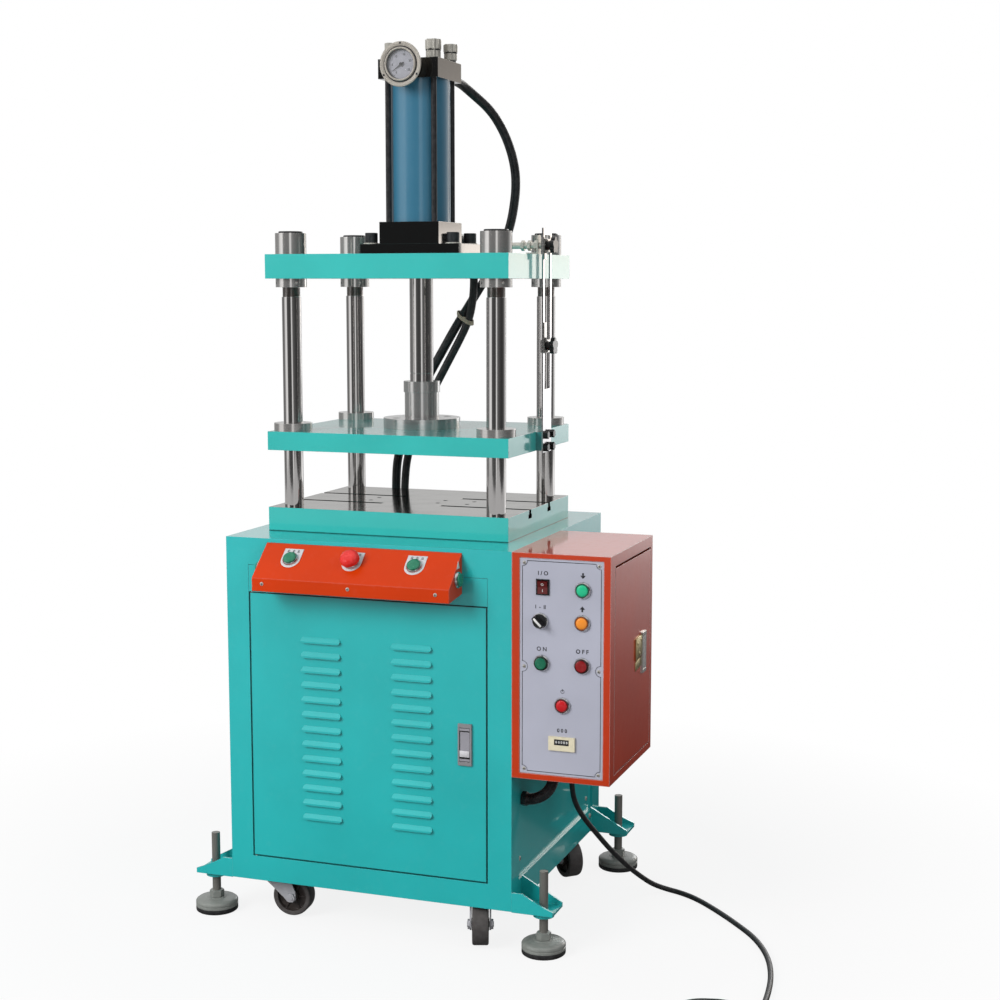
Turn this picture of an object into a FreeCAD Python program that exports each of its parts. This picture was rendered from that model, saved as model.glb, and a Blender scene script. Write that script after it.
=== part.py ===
import FreeCAD, Part
import math
import os

# Four-column hydraulic press on a steel cabinet. All lengths are millimetres.
# X runs to the right seen from the front, Y to the back and Z up. The ram's axis meets the floor at zero.

V = FreeCAD.Vector
RIGHT = V(1, 0, 0)
LEFT = V(-1, 0, 0)
BACK = V(0, 1, 0)
FRONT = V(0, -1, 0)
UP = V(0, 0, 1)
DOWN = V(0, 0, -1)
SIDES = (-1, 1)

# Fits
RUN = 0.05          # radial play of a running fit
SEAT = 0.02         # radial play of a seated pin, stem or screw
PIN_PLAY = 0.03     # radial play of a hinge pin
CAP_PLAY = 0.3      # radial play round a button cap
THROUGH = 1.0       # how far a cutting tool runs past the face it leaves

# Cabinet
CAB_X = 280.0       # half the width
CAB_Y = 276.0       # half the depth
CAB_LOW = 80.0
CAB_TOP = 732.0
CAB_WALL = 5.0
CAB_LID = 12.0
TRAY_LOW = CAB_LOW + 25.0
TRAY_TOP = TRAY_LOW + 5.0
OPEN_X = 235.0      # half the width of the front and rear openings
OPEN_LOW = CAB_LOW + 46.5
OPEN_TOP = CAB_TOP - 50.0
SIDE_FRONT = -234.0
SIDE_BACK = 231.0
SIDE_TOP = CAB_TOP - 42.0
PANEL = 3.0         # thickness of the side and rear panels
LAP = 12.0          # how far a panel reaches behind the frame

# Front door
DOOR_X = OPEN_X - 2.0
DOOR_LOW = OPEN_LOW + 2.0
DOOR_TOP = 630.0
UPPER_LOW = DOOR_TOP + 1.5      # lower edge of the fixed panel above the door
PANEL_GAP = 0.5
UPPER_TOP = OPEN_TOP - PANEL_GAP
SKIN = 2.0
DOOR_DEPTH = 20.0
HINGE_IN = 3.2      # hinge axis in from the two outer faces of a door's corner
PIN_R = 2.0
BLOCK = 12.0        # pivot block in a door's corner
PIN_IN = 10.0       # pin's reach into the frame
PIN_UP = 9.0        # pin's reach into the door
LOUVER_X = (-89.0, 90.0)
LOUVER_TOP = 548.0
LOUVER_PITCH = 27.8
LOUVERS = 13
LOUVER_LONG = 78.0
LOUVER_HIGH = 11.0
LOUVER_OUT = 5.0
LATCH_X = 192.5
LATCH_Z = 379.5

# Latches
LATCH_WIDE = 26.0
LATCH_TALL = 76.0
LATCH_PROUD = 4.0
CASE_WIDE = 22.0
CASE_TALL = 70.0
CASE_DEEP = 16.0
POCKET_WIDE = 20.0
POCKET_TALL = 62.0
POCKET_DEEP = 8.0
PADDLE_WIDE = 19.2
PADDLE_TALL = 60.0
PADDLE_THICK = 3.6
PADDLE_PIN_R = 1.2
PADDLE_PIN_REACH = 11.4
PADDLE_TOP = 28.0   # pin above the paddle's middle

# Screws: places are Y and Z on the sides, X and Z on the front
EDGE_SCREWS = ((-207.0, 116.0), (209.0, 114.5))
EDGE_SCREW_R = 3.0
PANEL_SCREWS = ((-218.0, 160.0), (198.0, 153.0))
PANEL_SCREW_R = 2.5
LIP_SCREW_X = (-175.0, -6.0, 161.0)
LIP_SCREW_Z = 659.0
FACE_SCREWS = ((-68.0, 184.0), (68.0, 184.0), (-68.0, 0.0), (68.0, 0.0), (-68.0, -184.0), (68.0, -184.0))
SMALL_SCREW_R = 2.0

# Feet, foot brackets and castors
FOOT_X = 331.0
FOOT_Y = 246.0
EAR_REACH = 77.0
EAR_WIDE = 60.0
EAR_WEB = (79.0, 84.0)
EAR_FLANGE = 4.0
EAR_OUTER_TOP = 115.0
EAR_INNER_TOP = 130.0
EAR_FLAT = 20.0
EAR_TIP_TOP = 88.0
BOSS_R = 19.0
BOSS_LOW = 69.0
STEM_R = 8.0
STEM_TOP = 152.0
PAD_R = 40.0
PAD_RUBBER = 9.0
PAD_RIM = 17.0
PAD_TOP = 26.0
FOOT_NUT = 24.0
FOOT_NUT_HIGH = 13.0
CASTERS = {         # place of the kingpin and heading of the trail in degrees
    "front_left": (-212.0, -228.0, 5.0),
    "front_right": (200.0, -218.0, -70.4),
    "rear_left": (-228.0, 178.0, 60.0),
    "rear_right": (228.0, 178.0, -45.4),
}
CASTER_PLATE = (75.0, 60.0, 3.0)
RACE_R = 25.0
RACE_LOW = 98.3
CROWN = (94.0, 98.0)
CROWN_R = 29.0
CROWN_RIM = (88.0, 2.5)     # lower edge and thickness of the crown's turned-down rim
KING_R = 5.0
KING_HEAD_R = 8.0
KING_HEAD = (90.5, 93.7)
TRAIL = 36.0
WHEEL_R = 37.5
WHEEL_WIDE = 30.0
WHEEL_LOW = 3.0
HUB_R = 12.0
AXLE_R = 5.0
LEG_IN = 16.5
LEG_OUT = 19.5
HUB_PLAY = 0.5      # hub from each fork leg

# Table, plates and columns
TABLE_X = 240.0
TABLE_Y = 180.0
TABLE_TOP = CAB_TOP + 45.0
SLOT_Y = 57.0
SLOT_INNER = 60.0
THROAT = 12.0
THROAT_DEEP = 8.0
TEE_WIDE = 20.0
TEE_DEEP = 16.0
TAP_R = 4.25
TAP_DEEP = 25.0
TAP_AT = ((-100.0, 20.0), (-40.0, 20.0), (40.0, 20.0), (100.0, 20.0),
          (-100.0, -20.0), (-40.0, -20.0), (40.0, -20.0), (100.0, -20.0))
PLATE_LOW = 885.0
PLATE_TOP = PLATE_LOW + 35.0
HEAD_LOW = 1205.0
HEAD_TOP = HEAD_LOW + 45.0
COL_X = 204.0
COL_Y = 144.0
COL_R = 18.0
NECK_R = 16.0
COL_LOW = CAB_TOP - 36.0
NECK_LOW = HEAD_LOW - 34.0
COL_TOP = HEAD_TOP + 34.0
NUT_R = 29.0
NUT_HIGH = COL_TOP - HEAD_TOP + 5.0
COLLAR_HIGH = 16.0
LOWER_NUT_HIGH = 20.0
SPANNER_R = 2.5
SPANNER_DEEP = 6.0
BUSH_R = 25.0
BUSH_FLANGE_R = 36.0
BUSH_FLANGE_HIGH = 15.0

# Ram and cylinder
ROD_R = 22.5
DISC_R = 74.0
DISC_TOP = PLATE_TOP + 20.0
COUPLING_R = 33.0
COUPLING_TOP = DISC_TOP + 49.0
RING_R = 35.0
RING_TOP = COUPLING_TOP + 21.0
ROD_LOW = DISC_TOP + 5.0
ROD_JOINT = RING_TOP + 15.0
JOINT_GROOVE = 0.8
BORE_R = 50.0
TUBE_R = 57.0
DISC_BOLTS = ((37.5, 37.5), (-37.5, 37.5), (-37.5, -37.5), (37.5, -37.5))
DISC_BOLT_R = 4.0
DISC_BOLT_IN = 20.0
DISC_HEAD_R = 7.0
DISC_HEAD_SUNK = 9.0
ROD_HOLE_R = 25.0
FLANGE_X = 100.0
BLOCK_HALF = 60.0
FLANGE_TOP = HEAD_TOP + 20.0
LOWER_BLOCK_TOP = FLANGE_TOP + 41.0
TUBE_LONG = 263.0
UPPER_BLOCK_LOW = LOWER_BLOCK_TOP + TUBE_LONG
UPPER_BLOCK_TOP = UPPER_BLOCK_LOW + 36.0
PISTON_LOW = LOWER_BLOCK_TOP + 24.0
PISTON_HIGH = 40.0
PISTON_R = BORE_R - RUN
TIE_AT = 46.0
TIE_R = 5.5
TIE_IN = 20.0
BOLT_X = 83.0
BOLT_Y = 45.0
BOLT_R = 8.0
BOLT_HEAD_R = 12.0
BOLT_HEAD_HIGH = 16.0
BOLT_DEEP = 50.0
SOCKET = 14.0
SOCKET_DEEP = 8.0
PORT_R = 9.0
UPPER_PORT_DEEP = 8.0
LOWER_PORT_DEEP = 14.0
FITTING_IN = 9.0
# Top fittings: place, hex across flats, stem radius and height
TOP_FITTINGS = ((27.0, 0.0, 26.0, 9.0, 40.0), (50.0, 30.0, 23.0, 7.0, 33.0), (-52.0, -20.0, 14.0, 4.0, 33.0))

# Pressure gauge
GAUGE_X = -3.0
GAUGE_Z = UPPER_BLOCK_LOW + 22.0
GAUGE_FACE = -90.0
GAUGE_RIM_R = 41.0
GAUGE_RIM = 3.0
GAUGE_CASE_R = 31.0
GAUGE_BACK = -BLOCK_HALF - 2.0
GAUGE_GLASS_R = 30.0
GAUGE_DIAL_R = 28.5
GAUGE_DIAL_Y = -82.0
GLASS = 1.6
GLASS_SUNK = 2.0
GAUGE_STEM_R = 7.0
GAUGE_STEM_IN = 10.0
NEEDLE_LONG = 22.0
NEEDLE_PIN_R = 0.8
NEEDLE_PIN_LONG = 8.0
NEEDLE_OFF = 1.0    # needle's hub from the dial

# Limit bar
BAR_X = (TABLE_X + 11.0, TABLE_X + 14.0)
BAR_Y = 25.0
BAR_Z = (PLATE_LOW - 4.0, PLATE_LOW + 413.0)
BAR_SLOT_Y = 16.0
BAR_SLOT_Z = (BAR_Z[0] + 119.0, BAR_Z[1] - 13.0)
BAR_BOLT_Y = 17.5
BAR_BOLT_Z = (PLATE_LOW + 6.0, PLATE_TOP - 5.5)
BAR_BOLT_R = 4.0
BAR_BOLT_IN = 18.0
UPPER_DOG_Z = BAR_Z[1] - 32.0
LOWER_DOG_Z = BAR_Z[0] + 199.0
DOG_PLATE = 3.0
DOG_HALF = 12.0
DOG_BOLT_R = 4.0
KEY_PLAY = 0.1      # dog's key from each side of the slot
KNOB_R = 16.0
SENSOR_Z = HEAD_TOP + 16.0
SENSOR_R = 6.0
SENSOR_X = (185.0, 242.0)
SENSOR_NUT = 17.0
SENSOR_NUT_X = (203.0, 216.0, 229.0)
SENSOR_NUT_LONG = 6.0
BRACKET_X = (235.0, 238.0)
BRACKET_FOOT = 24.0

# Operating console
CON_LEFT = -195.0
CON_RIGHT = 187.0
CON_PROFILE = ((-276.0, 725.0), (-339.0, 669.0), (-339.0, 645.0), (-276.0, 652.0))
CON_WALL = 2.5
CON_SLOPE = 41.634
CON_BUTTON_X = (-134.0, -13.0, 108.0)
CON_BUTTON_Y = -304.0
CON_END_Y = -300.0
CON_END_Z = 681.0
LABEL_WIDE = 41.0
LABEL_HIGH = 21.0
LABEL_THICK = 0.8

# Controls
BEZEL_R = 14.75
BEZEL_HIGH = 5.0
CAP_R = 12.0
CAP_LOW = 3.3
CAP_TOP = 8.5
BARREL_R = 10.8
BARREL_DEEP = 22.0
BUTTON_STEM_R = 5.0
BUTTON_STEM_DEEP = 24.0
PANEL_HOLE_R = 11.0
STOP_R = 17.75
STOP_LOW = 9.0
STOP_TOP = 22.0

# Electric box
BOX_X = (280.0, 460.0)
BOX_Y = (-276.0, 4.0)
BOX_Z = (328.0, 732.0)
BOX_WALL = 3.0
FACE_X = 371.0
FACE_Z = 530.6
FACE_WIDE = 152.0
FACE_TALL = 384.0
FACE_SUNK = 1.0
FACE_THICK = 2.0
FACE_PLAY = 0.3
FACE_LIP = 14.0
ROCKER_AT = (337.0, 673.0)
ROCKER_HALF = (11.0, 13.0)
ROCKER_PIN_R = 1.5
ROCKER_PIN_REACH = 10.4
ROCKER_TILT = 8.0
LAMPS_AT = ((409.6, 671.3), (408.7, 613.8), (373.4, 465.5))
SELECTOR_AT = (332.7, 613.0)
START_AT = (335.2, 538.6)
STOP_AT = (409.0, 538.6)
COUNTER_AT = (373.0, 397.0)
COUNTER_WIDE = 48.0
COUNTER_TALL = 25.0
COUNTER_HALF = (22.0, 10.5)
SIDE_DOOR_Y = (-250.0, -8.0)
SIDE_DOOR_Z = (341.0, 712.0)
SIDE_DOOR_GAP = 2.0
SIDE_DOOR_TOP_GAP = 4.0
SIDE_DOOR_DEEP = 12.0
SIDE_PIN_IN = 7.0
BOX_LATCH_Y = -62.0
BOX_LATCH_Z = 525.0
CONDUIT_X = 335.0
CONDUIT_Y = -202.0
CONDUIT_BEND = 50.0
CONDUIT_END_Z = 268.0
CONDUIT_R = 10.5
CONDUIT_ROOT_R = 9.2
CONDUIT_BORE_R = 7.5
CONDUIT_RIBS = 24
RIB_SHAPE = ((0.0, CONDUIT_ROOT_R), (0.3, CONDUIT_ROOT_R), (0.5, CONDUIT_R), (0.8, CONDUIT_R))
BOX_GLAND_R = 8.5
SIDE_GLAND_R = 9.0
CORD_R = 5.0
CORD_X = 328.0
CORD_Y = -78.0
CORD_GLAND_R = 7.5
GLAND_LONG = 26.0

# Hoses
HOSE_UPPER_R = 9.0
HOSE_LOWER_R = 8.0
UPPER_PORT = (28.0, UPPER_BLOCK_LOW + 12.0)
LOWER_PORT = (22.0, LOWER_BLOCK_TOP - 23.0)
HOSE_UPPER_IN = (-147.0, 216.0)
HOSE_LOWER_IN = (-121.0, 200.0)
BULKHEAD_R = 8.5
BULKHEAD_TOP = CAB_TOP + 20.0

# Routes of hoses and cord: corners whose first and last lie at the fittings
HOSE_UPPER_ROUTE = ((UPPER_PORT[0], 85, UPPER_PORT[1]), (UPPER_PORT[0], 130, UPPER_PORT[1]),
                    (41, 166, 1568), (71, 193, 1537), (92, 207, 1499), (106, 215, 1460), (114, 219, 1422),
                    (115, 221, 1387),
                    (111, 223, 1355), (105, 224, 1323), (95, 225, 1291), (74, 228, 1251), (49, 228, 1208),
                    (20, 228, 1164), (1, 220, 1131), (-16, 213, 1101), (-39, 211, 1061), (-68, 211, 1013),
                    (-97, 212, 962), (-123, 214, 905), (-142, 216, 842),
                    (HOSE_UPPER_IN[0], HOSE_UPPER_IN[1], 800),
                    (HOSE_UPPER_IN[0], HOSE_UPPER_IN[1], BULKHEAD_TOP))
HOSE_LOWER_ROUTE = ((LOWER_PORT[0], 105, LOWER_PORT[1]), (LOWER_PORT[0], 158, LOWER_PORT[1]),
                    (23, 182, 1278), (25, 200, 1260), (28, 209, 1236), (30, 209, 1201), (28, 208, 1165),
                    (21, 207, 1127),
                    (4, 207, 1091), (-22, 206, 1044), (-52, 205, 990), (-82, 203, 934), (-106, 201, 875),
                    (HOSE_LOWER_IN[0], HOSE_LOWER_IN[1], 808),
                    (HOSE_LOWER_IN[0], HOSE_LOWER_IN[1], BULKHEAD_TOP))
CORD_ROUTE = ((328, -78, 302), (329, -75, 266), (331, -65, 229), (344, -48, 194), (360, -24, 161),
              (377, 10, 121), (393, 44, 87), (406, 77, 58), (420, 104, 35), (437, 120, 18), (462, 129, 8),
              (494, 125, 5), (532, 101, 5), (582, 52, 5), (632, -4, 5), (680, -64, 5), (718, -142, 5),
              (740, -226, 5), (750, -312, 5), (752, -398, 5), (752, -480, 5))
COIL_CENTRE = (691.0, -490.0)
COIL_OUTER_R = 61.0
COIL_INNER_R = 49.0
COIL_RISE = 12.0
COIL_LOW = 5.0
COIL_END = 26.2
COIL_TAIL = 50.0
PLUG_R = 26.0
PLUG_LONG = 118.0

# Power unit inside the cabinet
TANK_X = (-200.0, 180.0)
TANK_Y = (-90.0, 170.0)
TANK_HIGH = 200.0
TANK_WALL = 3.0
LID_OVER = 6.0
MOTOR_R = 65.0
MOTOR_X = (-170.0, 0.0)
MOTOR_Y = 35.0
MOTOR_UP = 75.0     # motor's axis above the lid
BELL_R = 50.0
BELL_LONG = 60.0
PUMP_R = 38.0
PUMP_LONG = 70.0
VALVE_X = (40.0, 120.0)
VALVE_Y = (100.0, 160.0)
VALVE_HIGH = 94.0
FILLER_AT = (140.0, -50.0)
FILLER_R = 22.0
FILLER_HIGH = 40.0

SHAPES = {}


def box(x0, x1, y0, y1, z0, z1):
    return Part.makeBox(x1 - x0, y1 - y0, z1 - z0, V(x0, y0, z0))


def upright(radius, x, y, z0, z1):
    return Part.makeCylinder(radius, z1 - z0, V(x, y, z0))


def sleeve(outer, inner, x, y, z0, z1):
    return upright(outer, x, y, z0, z1).cut(upright(inner, x, y, z0 - THROUGH, z1 + THROUGH))


def rod(radius, start, direction, length):
    return Part.makeCylinder(radius, length, start, direction)


def prism(points, direction):
    corners = [V(*point) for point in points]
    return Part.Face(Part.makePolygon(corners + corners[:1])).extrude(direction)


def aimed(shape, start, direction):
    placed = shape.copy()
    placed.Placement = FreeCAD.Placement(start, FreeCAD.Rotation(UP, direction))
    return placed


def hex_bar(across, start, direction, length):
    radius = across / math.sqrt(3)
    corners = []
    for step in range(6):
        angle = math.radians(60 * step)
        corners.append((radius * math.cos(angle), radius * math.sin(angle), 0))
    return aimed(prism(corners, UP * length), start, direction)


def turned(profile, start, direction):
    corners = [V(radius, 0, along) for radius, along in profile]
    face = Part.Face(Part.makePolygon(corners + corners[:1]))
    return aimed(face.revolve(V(0, 0, 0), UP, 360), start, direction)


def dome(radius, low, shoulder, top, start, direction):
    """A round head whose edge turns over in an arc from the shoulder to the top."""
    crown = radius * 0.45
    middle = V(radius - (radius - crown) * 0.30, 0, shoulder + (top - shoulder) * 0.70)
    edges = [
        Part.makeLine(V(0, 0, low), V(radius, 0, low)),
        Part.makeLine(V(radius, 0, low), V(radius, 0, shoulder)),
        Part.Arc(V(radius, 0, shoulder), middle, V(crown, 0, top)).toShape(),
        Part.makeLine(V(crown, 0, top), V(0, 0, top)),
        Part.makeLine(V(0, 0, top), V(0, 0, low)),
    ]
    return aimed(Part.Face(Part.Wire(edges)).revolve(V(0, 0, 0), UP, 360), start, direction)


def joined(parts):
    whole = parts[0]
    for part in parts[1:]:
        whole = whole.fuse(part)
    return whole.removeSplitter()


def drilled(shape, tools):
    for tool in tools:
        shape = shape.cut(tool)
    return shape


def group(parts):
    return Part.makeCompound(parts)


def moved(shape, place):
    copy = shape.copy()
    copy.Placement = place.multiply(copy.Placement)
    return copy


def inset(points, steps):
    """The polygon whose edges lie inside those of the given one, each by its own step."""
    count = len(points)
    lines = []
    for index in range(count):
        x0, y0 = points[index]
        x1, y1 = points[(index + 1) % count]
        length = math.hypot(x1 - x0, y1 - y0)
        dx = (x1 - x0) / length
        dy = (y1 - y0) / length
        lines.append((x0 - dy * steps[index], y0 + dx * steps[index], dx, dy))
    corners = []
    for index in range(count):
        ax, ay, adx, ady = lines[index - 1]
        bx, by, bdx, bdy = lines[index]
        cross = adx * bdy - ady * bdx
        along = ((bx - ax) * bdy - (by - ay) * bdx) / cross
        corners.append((ax + adx * along, ay + ady * along))
    return corners


def route(points):
    """Straight runs with an arc touching both at every corner, and the radii of the arcs."""
    corners = [V(*point) for point in points]
    edges = []
    radii = []
    last = corners[0]
    for before, corner, after in zip(corners, corners[1:], corners[2:]):
        run_in = corner.sub(before)
        run_out = after.sub(corner)
        back = 0.45 * min(run_in.Length, run_out.Length)
        half = run_in.getAngle(run_out) / 2
        radius = back / math.tan(half)
        start = corner - V(run_in).normalize() * back
        end = corner + V(run_out).normalize() * back
        inward = ((start + end) * 0.5 - corner).normalize()
        middle = corner + inward * (radius / math.cos(half) - radius)
        edges.append(Part.LineSegment(last, start).toShape())
        edges.append(Part.Arc(start, middle, end).toShape())
        radii.append(radius)
        last = end
    edges.append(Part.LineSegment(last, corners[-1]).toShape())
    return Part.Wire(edges), radii


def swept(wire, radius, start, direction):
    section = Part.Wire(Part.makeCircle(radius, start, direction))
    return wire.makePipeShell([section], True, False)


def tube_along(name, points, radius):
    wire, radii = route(points)
    start = V(*points[0])
    solid = swept(wire, radius, start, V(*points[1]).sub(start))
    ideal = math.pi * radius * radius * wire.Length
    print(name, "length", round(wire.Length), "radii", [round(radius) for radius in radii],
          "volume ratio", round(solid.Volume / ideal, 4), "valid", solid.isValid())
    return solid


# Cabinet


def make_cabinet():
    frame = box(-CAB_X, CAB_X, -CAB_Y, CAB_Y, CAB_LOW, CAB_TOP)
    inner_x = CAB_X - CAB_WALL
    inner_y = CAB_Y - CAB_WALL
    tabs = box(-OPEN_X - 10, -OPEN_X + 20, -inner_y, -inner_y + 16, TRAY_TOP, OPEN_LOW)
    holes = [
        box(-inner_x, inner_x, -inner_y, inner_y, TRAY_TOP, CAB_TOP - CAB_LID),
        box(-inner_x, inner_x, -inner_y, inner_y, CAB_LOW - THROUGH, TRAY_LOW),
        box(-OPEN_X, OPEN_X, -CAB_Y - THROUGH, -inner_y + THROUGH, OPEN_LOW, OPEN_TOP),
        box(-OPEN_X, OPEN_X, inner_y - THROUGH, CAB_Y + THROUGH, OPEN_LOW, SIDE_TOP),
        box(-CAB_X - THROUGH, CAB_X + THROUGH, SIDE_FRONT, SIDE_BACK, OPEN_LOW, SIDE_TOP),
    ]
    frame = drilled(frame, holes)
    frame = frame.fuse(tabs)
    bores = [upright(PIN_R + SEAT, -DOOR_X + HINGE_IN, -CAB_Y + HINGE_IN, OPEN_LOW - PIN_IN,
                     OPEN_LOW + THROUGH)]
    for sx in SIDES:
        for sy in SIDES:
            bores.append(upright(COL_R + RUN, sx * COL_X, sy * COL_Y, CAB_TOP - CAB_LID - THROUGH,
                                 CAB_TOP + THROUGH))
    for x, y in (HOSE_UPPER_IN, HOSE_LOWER_IN):
        bores.append(upright(BULKHEAD_R + SEAT, x, y, CAB_TOP - CAB_LID - THROUGH, CAB_TOP + THROUGH))
    for sx in SIDES:
        for y, z in EDGE_SCREWS:
            bores.append(rod(EDGE_SCREW_R + SEAT, V(sx * (inner_x - THROUGH), y, z), RIGHT * sx,
                             CAB_WALL + 2 * THROUGH))
    return drilled(frame, bores).removeSplitter()


def make_panels():
    inner_x = CAB_X - CAB_WALL
    inner_y = CAB_Y - CAB_WALL
    front = joined([
        box(-OPEN_X + PANEL_GAP, OPEN_X - PANEL_GAP, -CAB_Y, -inner_y, UPPER_LOW, UPPER_TOP),
        box(-OPEN_X - 15, OPEN_X + 15, -inner_y, -inner_y + 4, UPPER_LOW, OPEN_TOP + 18),
        box(-OPEN_X + 1, -OPEN_X + 16, -inner_y, -inner_y + 16, UPPER_LOW, UPPER_LOW + BLOCK),
    ])
    front = front.cut(upright(PIN_R + SEAT, -DOOR_X + HINGE_IN, -CAB_Y + HINGE_IN, UPPER_LOW - THROUGH,
                              UPPER_LOW + PIN_IN))
    sides = []
    for sx in SIDES:
        x0, x1 = sorted((sx * (inner_x - PANEL), sx * inner_x))
        panel = box(x0, x1, SIDE_FRONT - LAP, SIDE_BACK + LAP, OPEN_LOW - LAP, SIDE_TOP + LAP)
        tools = [rod(PANEL_SCREW_R + SEAT, V(sx * (inner_x - PANEL - THROUGH), y, z), RIGHT * sx,
                     PANEL + 2 * THROUGH) for y, z in PANEL_SCREWS]
        if sx > 0:
            tools.append(rod(SIDE_GLAND_R + SEAT, V(inner_x - 10, CONDUIT_Y, CONDUIT_END_Z), RIGHT, 20))
        sides.append(drilled(panel, tools))
    rear = box(-OPEN_X - LAP, OPEN_X + LAP, inner_y - PANEL, inner_y, OPEN_LOW - LAP, SIDE_TOP + LAP)
    slots = []
    for sx in SIDES:
        for row in range(8):
            z = 560 - row * 24
            slots.append(box(sx * 100 - 45, sx * 100 + 45, inner_y - PANEL - THROUGH, inner_y + THROUGH,
                             z, z + 6))
    return group([front] + sides + [drilled(rear, slots)])


def latch_body(depth):
    """Latch with its pocket, seen from the front: X across, Z up, the skin's outer face at zero."""
    plate = box(-LATCH_WIDE / 2, LATCH_WIDE / 2, -LATCH_PROUD, 0, -LATCH_TALL / 2, LATCH_TALL / 2)
    case = box(-CASE_WIDE / 2, CASE_WIDE / 2, 0, depth, -CASE_TALL / 2, CASE_TALL / 2)
    tongue = box(CASE_WIDE / 2, CASE_WIDE / 2 + 8, depth - 8, depth - 3, -8, 8)
    pocket = box(-POCKET_WIDE / 2, POCKET_WIDE / 2, -LATCH_PROUD - THROUGH, POCKET_DEEP - LATCH_PROUD,
                 -POCKET_TALL / 2, POCKET_TALL / 2)
    reach = PADDLE_PIN_REACH + 0.2
    pin = rod(PADDLE_PIN_R + PIN_PLAY, V(-reach, -LATCH_PROUD / 2, PADDLE_TOP), RIGHT, 2 * reach)
    return joined([plate, case, tongue]).cut(pocket).cut(pin)


def latch_paddle():
    slab = box(-PADDLE_WIDE / 2, PADDLE_WIDE / 2, -LATCH_PROUD / 2 - PADDLE_THICK / 2,
               -LATCH_PROUD / 2 + PADDLE_THICK / 2, -PADDLE_TALL / 2, PADDLE_TALL / 2)
    pin = rod(PADDLE_PIN_R, V(-PADDLE_PIN_REACH, -LATCH_PROUD / 2, PADDLE_TOP), RIGHT, 2 * PADDLE_PIN_REACH)
    return joined([slab, pin])


def door_place():
    return FreeCAD.Placement(V(LATCH_X, -CAB_Y, LATCH_Z), FreeCAD.Rotation())


def box_place():
    return FreeCAD.Placement(V(BOX_X[1], BOX_LATCH_Y, BOX_LATCH_Z), FreeCAD.Rotation(UP, 90))


def louver_outer(x, z):
    half = LOUVER_LONG / 2 - LOUVER_HIGH / 2
    low = z - LOUVER_HIGH / 2
    high = z + LOUVER_HIGH / 2
    front = -CAB_Y - LOUVER_OUT
    wedge = prism([(x - 50, -CAB_Y + 1, high), (x - 50, -CAB_Y - 0.2, high), (x - 50, front, z - 1.5),
                   (x - 50, front, low), (x - 50, -CAB_Y + 1, low)], RIGHT * 100)
    start = front - THROUGH
    body = box(x - half, x + half, start, -CAB_Y + 1, low, high)
    ends = [rod(LOUVER_HIGH / 2, V(x + side * half, start, z), BACK, -CAB_Y + 1 - start) for side in SIDES]
    return joined([body] + ends).common(wedge)


def louver_inner(x, z):
    reach = LOUVER_LONG / 2 - 4.5
    low = z - LOUVER_HIGH / 2
    front = -CAB_Y - LOUVER_OUT + 1.3
    left = x - reach
    return prism([(left, -CAB_Y + 3, low), (left, -CAB_Y + 3, z + 2.2), (left, -CAB_Y + 1, z + 3.2),
                  (left, front, z - 3.0), (left, front, low - 2), (left, -CAB_Y - 0.01, low - 2),
                  (left, -CAB_Y - 0.01, low)], RIGHT * 2 * reach)


def make_front_door():
    back = -CAB_Y + DOOR_DEPTH
    pan = box(-DOOR_X, DOOR_X, -CAB_Y, back, DOOR_LOW, DOOR_TOP)
    pan = pan.cut(box(-DOOR_X + SKIN, DOOR_X - SKIN, -CAB_Y + SKIN, back + THROUGH, DOOR_LOW + SKIN,
                      DOOR_TOP - SKIN))
    blocks = []
    for z in (DOOR_LOW + 1, DOOR_TOP - 1 - BLOCK):
        blocks.append(box(-DOOR_X + 1, -DOOR_X + 1 + BLOCK, -CAB_Y + 1, -CAB_Y + 1 + BLOCK, z, z + BLOCK))
    pan = joined([pan] + blocks)
    outers = []
    inners = []
    for x in LOUVER_X:
        for row in range(LOUVERS):
            z = LOUVER_TOP - row * LOUVER_PITCH
            outers.append(louver_outer(x, z))
            inners.append(louver_inner(x, z))
    pan = pan.multiFuse(outers).removeSplitter()
    pan = pan.cut(group(inners))
    pan = pan.cut(box(LATCH_X - CASE_WIDE / 2, LATCH_X + CASE_WIDE / 2, -CAB_Y - THROUGH, -CAB_Y + SKIN + 1,
                      LATCH_Z - CASE_TALL / 2, LATCH_Z + CASE_TALL / 2))
    pin_x = -DOOR_X + HINGE_IN
    pin_y = -CAB_Y + HINGE_IN
    for z in (DOOR_LOW - THROUGH, DOOR_TOP - PIN_UP - 1):
        pan = pan.cut(upright(PIN_R + PIN_PLAY, pin_x, pin_y, z, z + PIN_UP + 1 + THROUGH))
    return group([pan, moved(latch_body(CASE_DEEP), door_place())])


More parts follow.
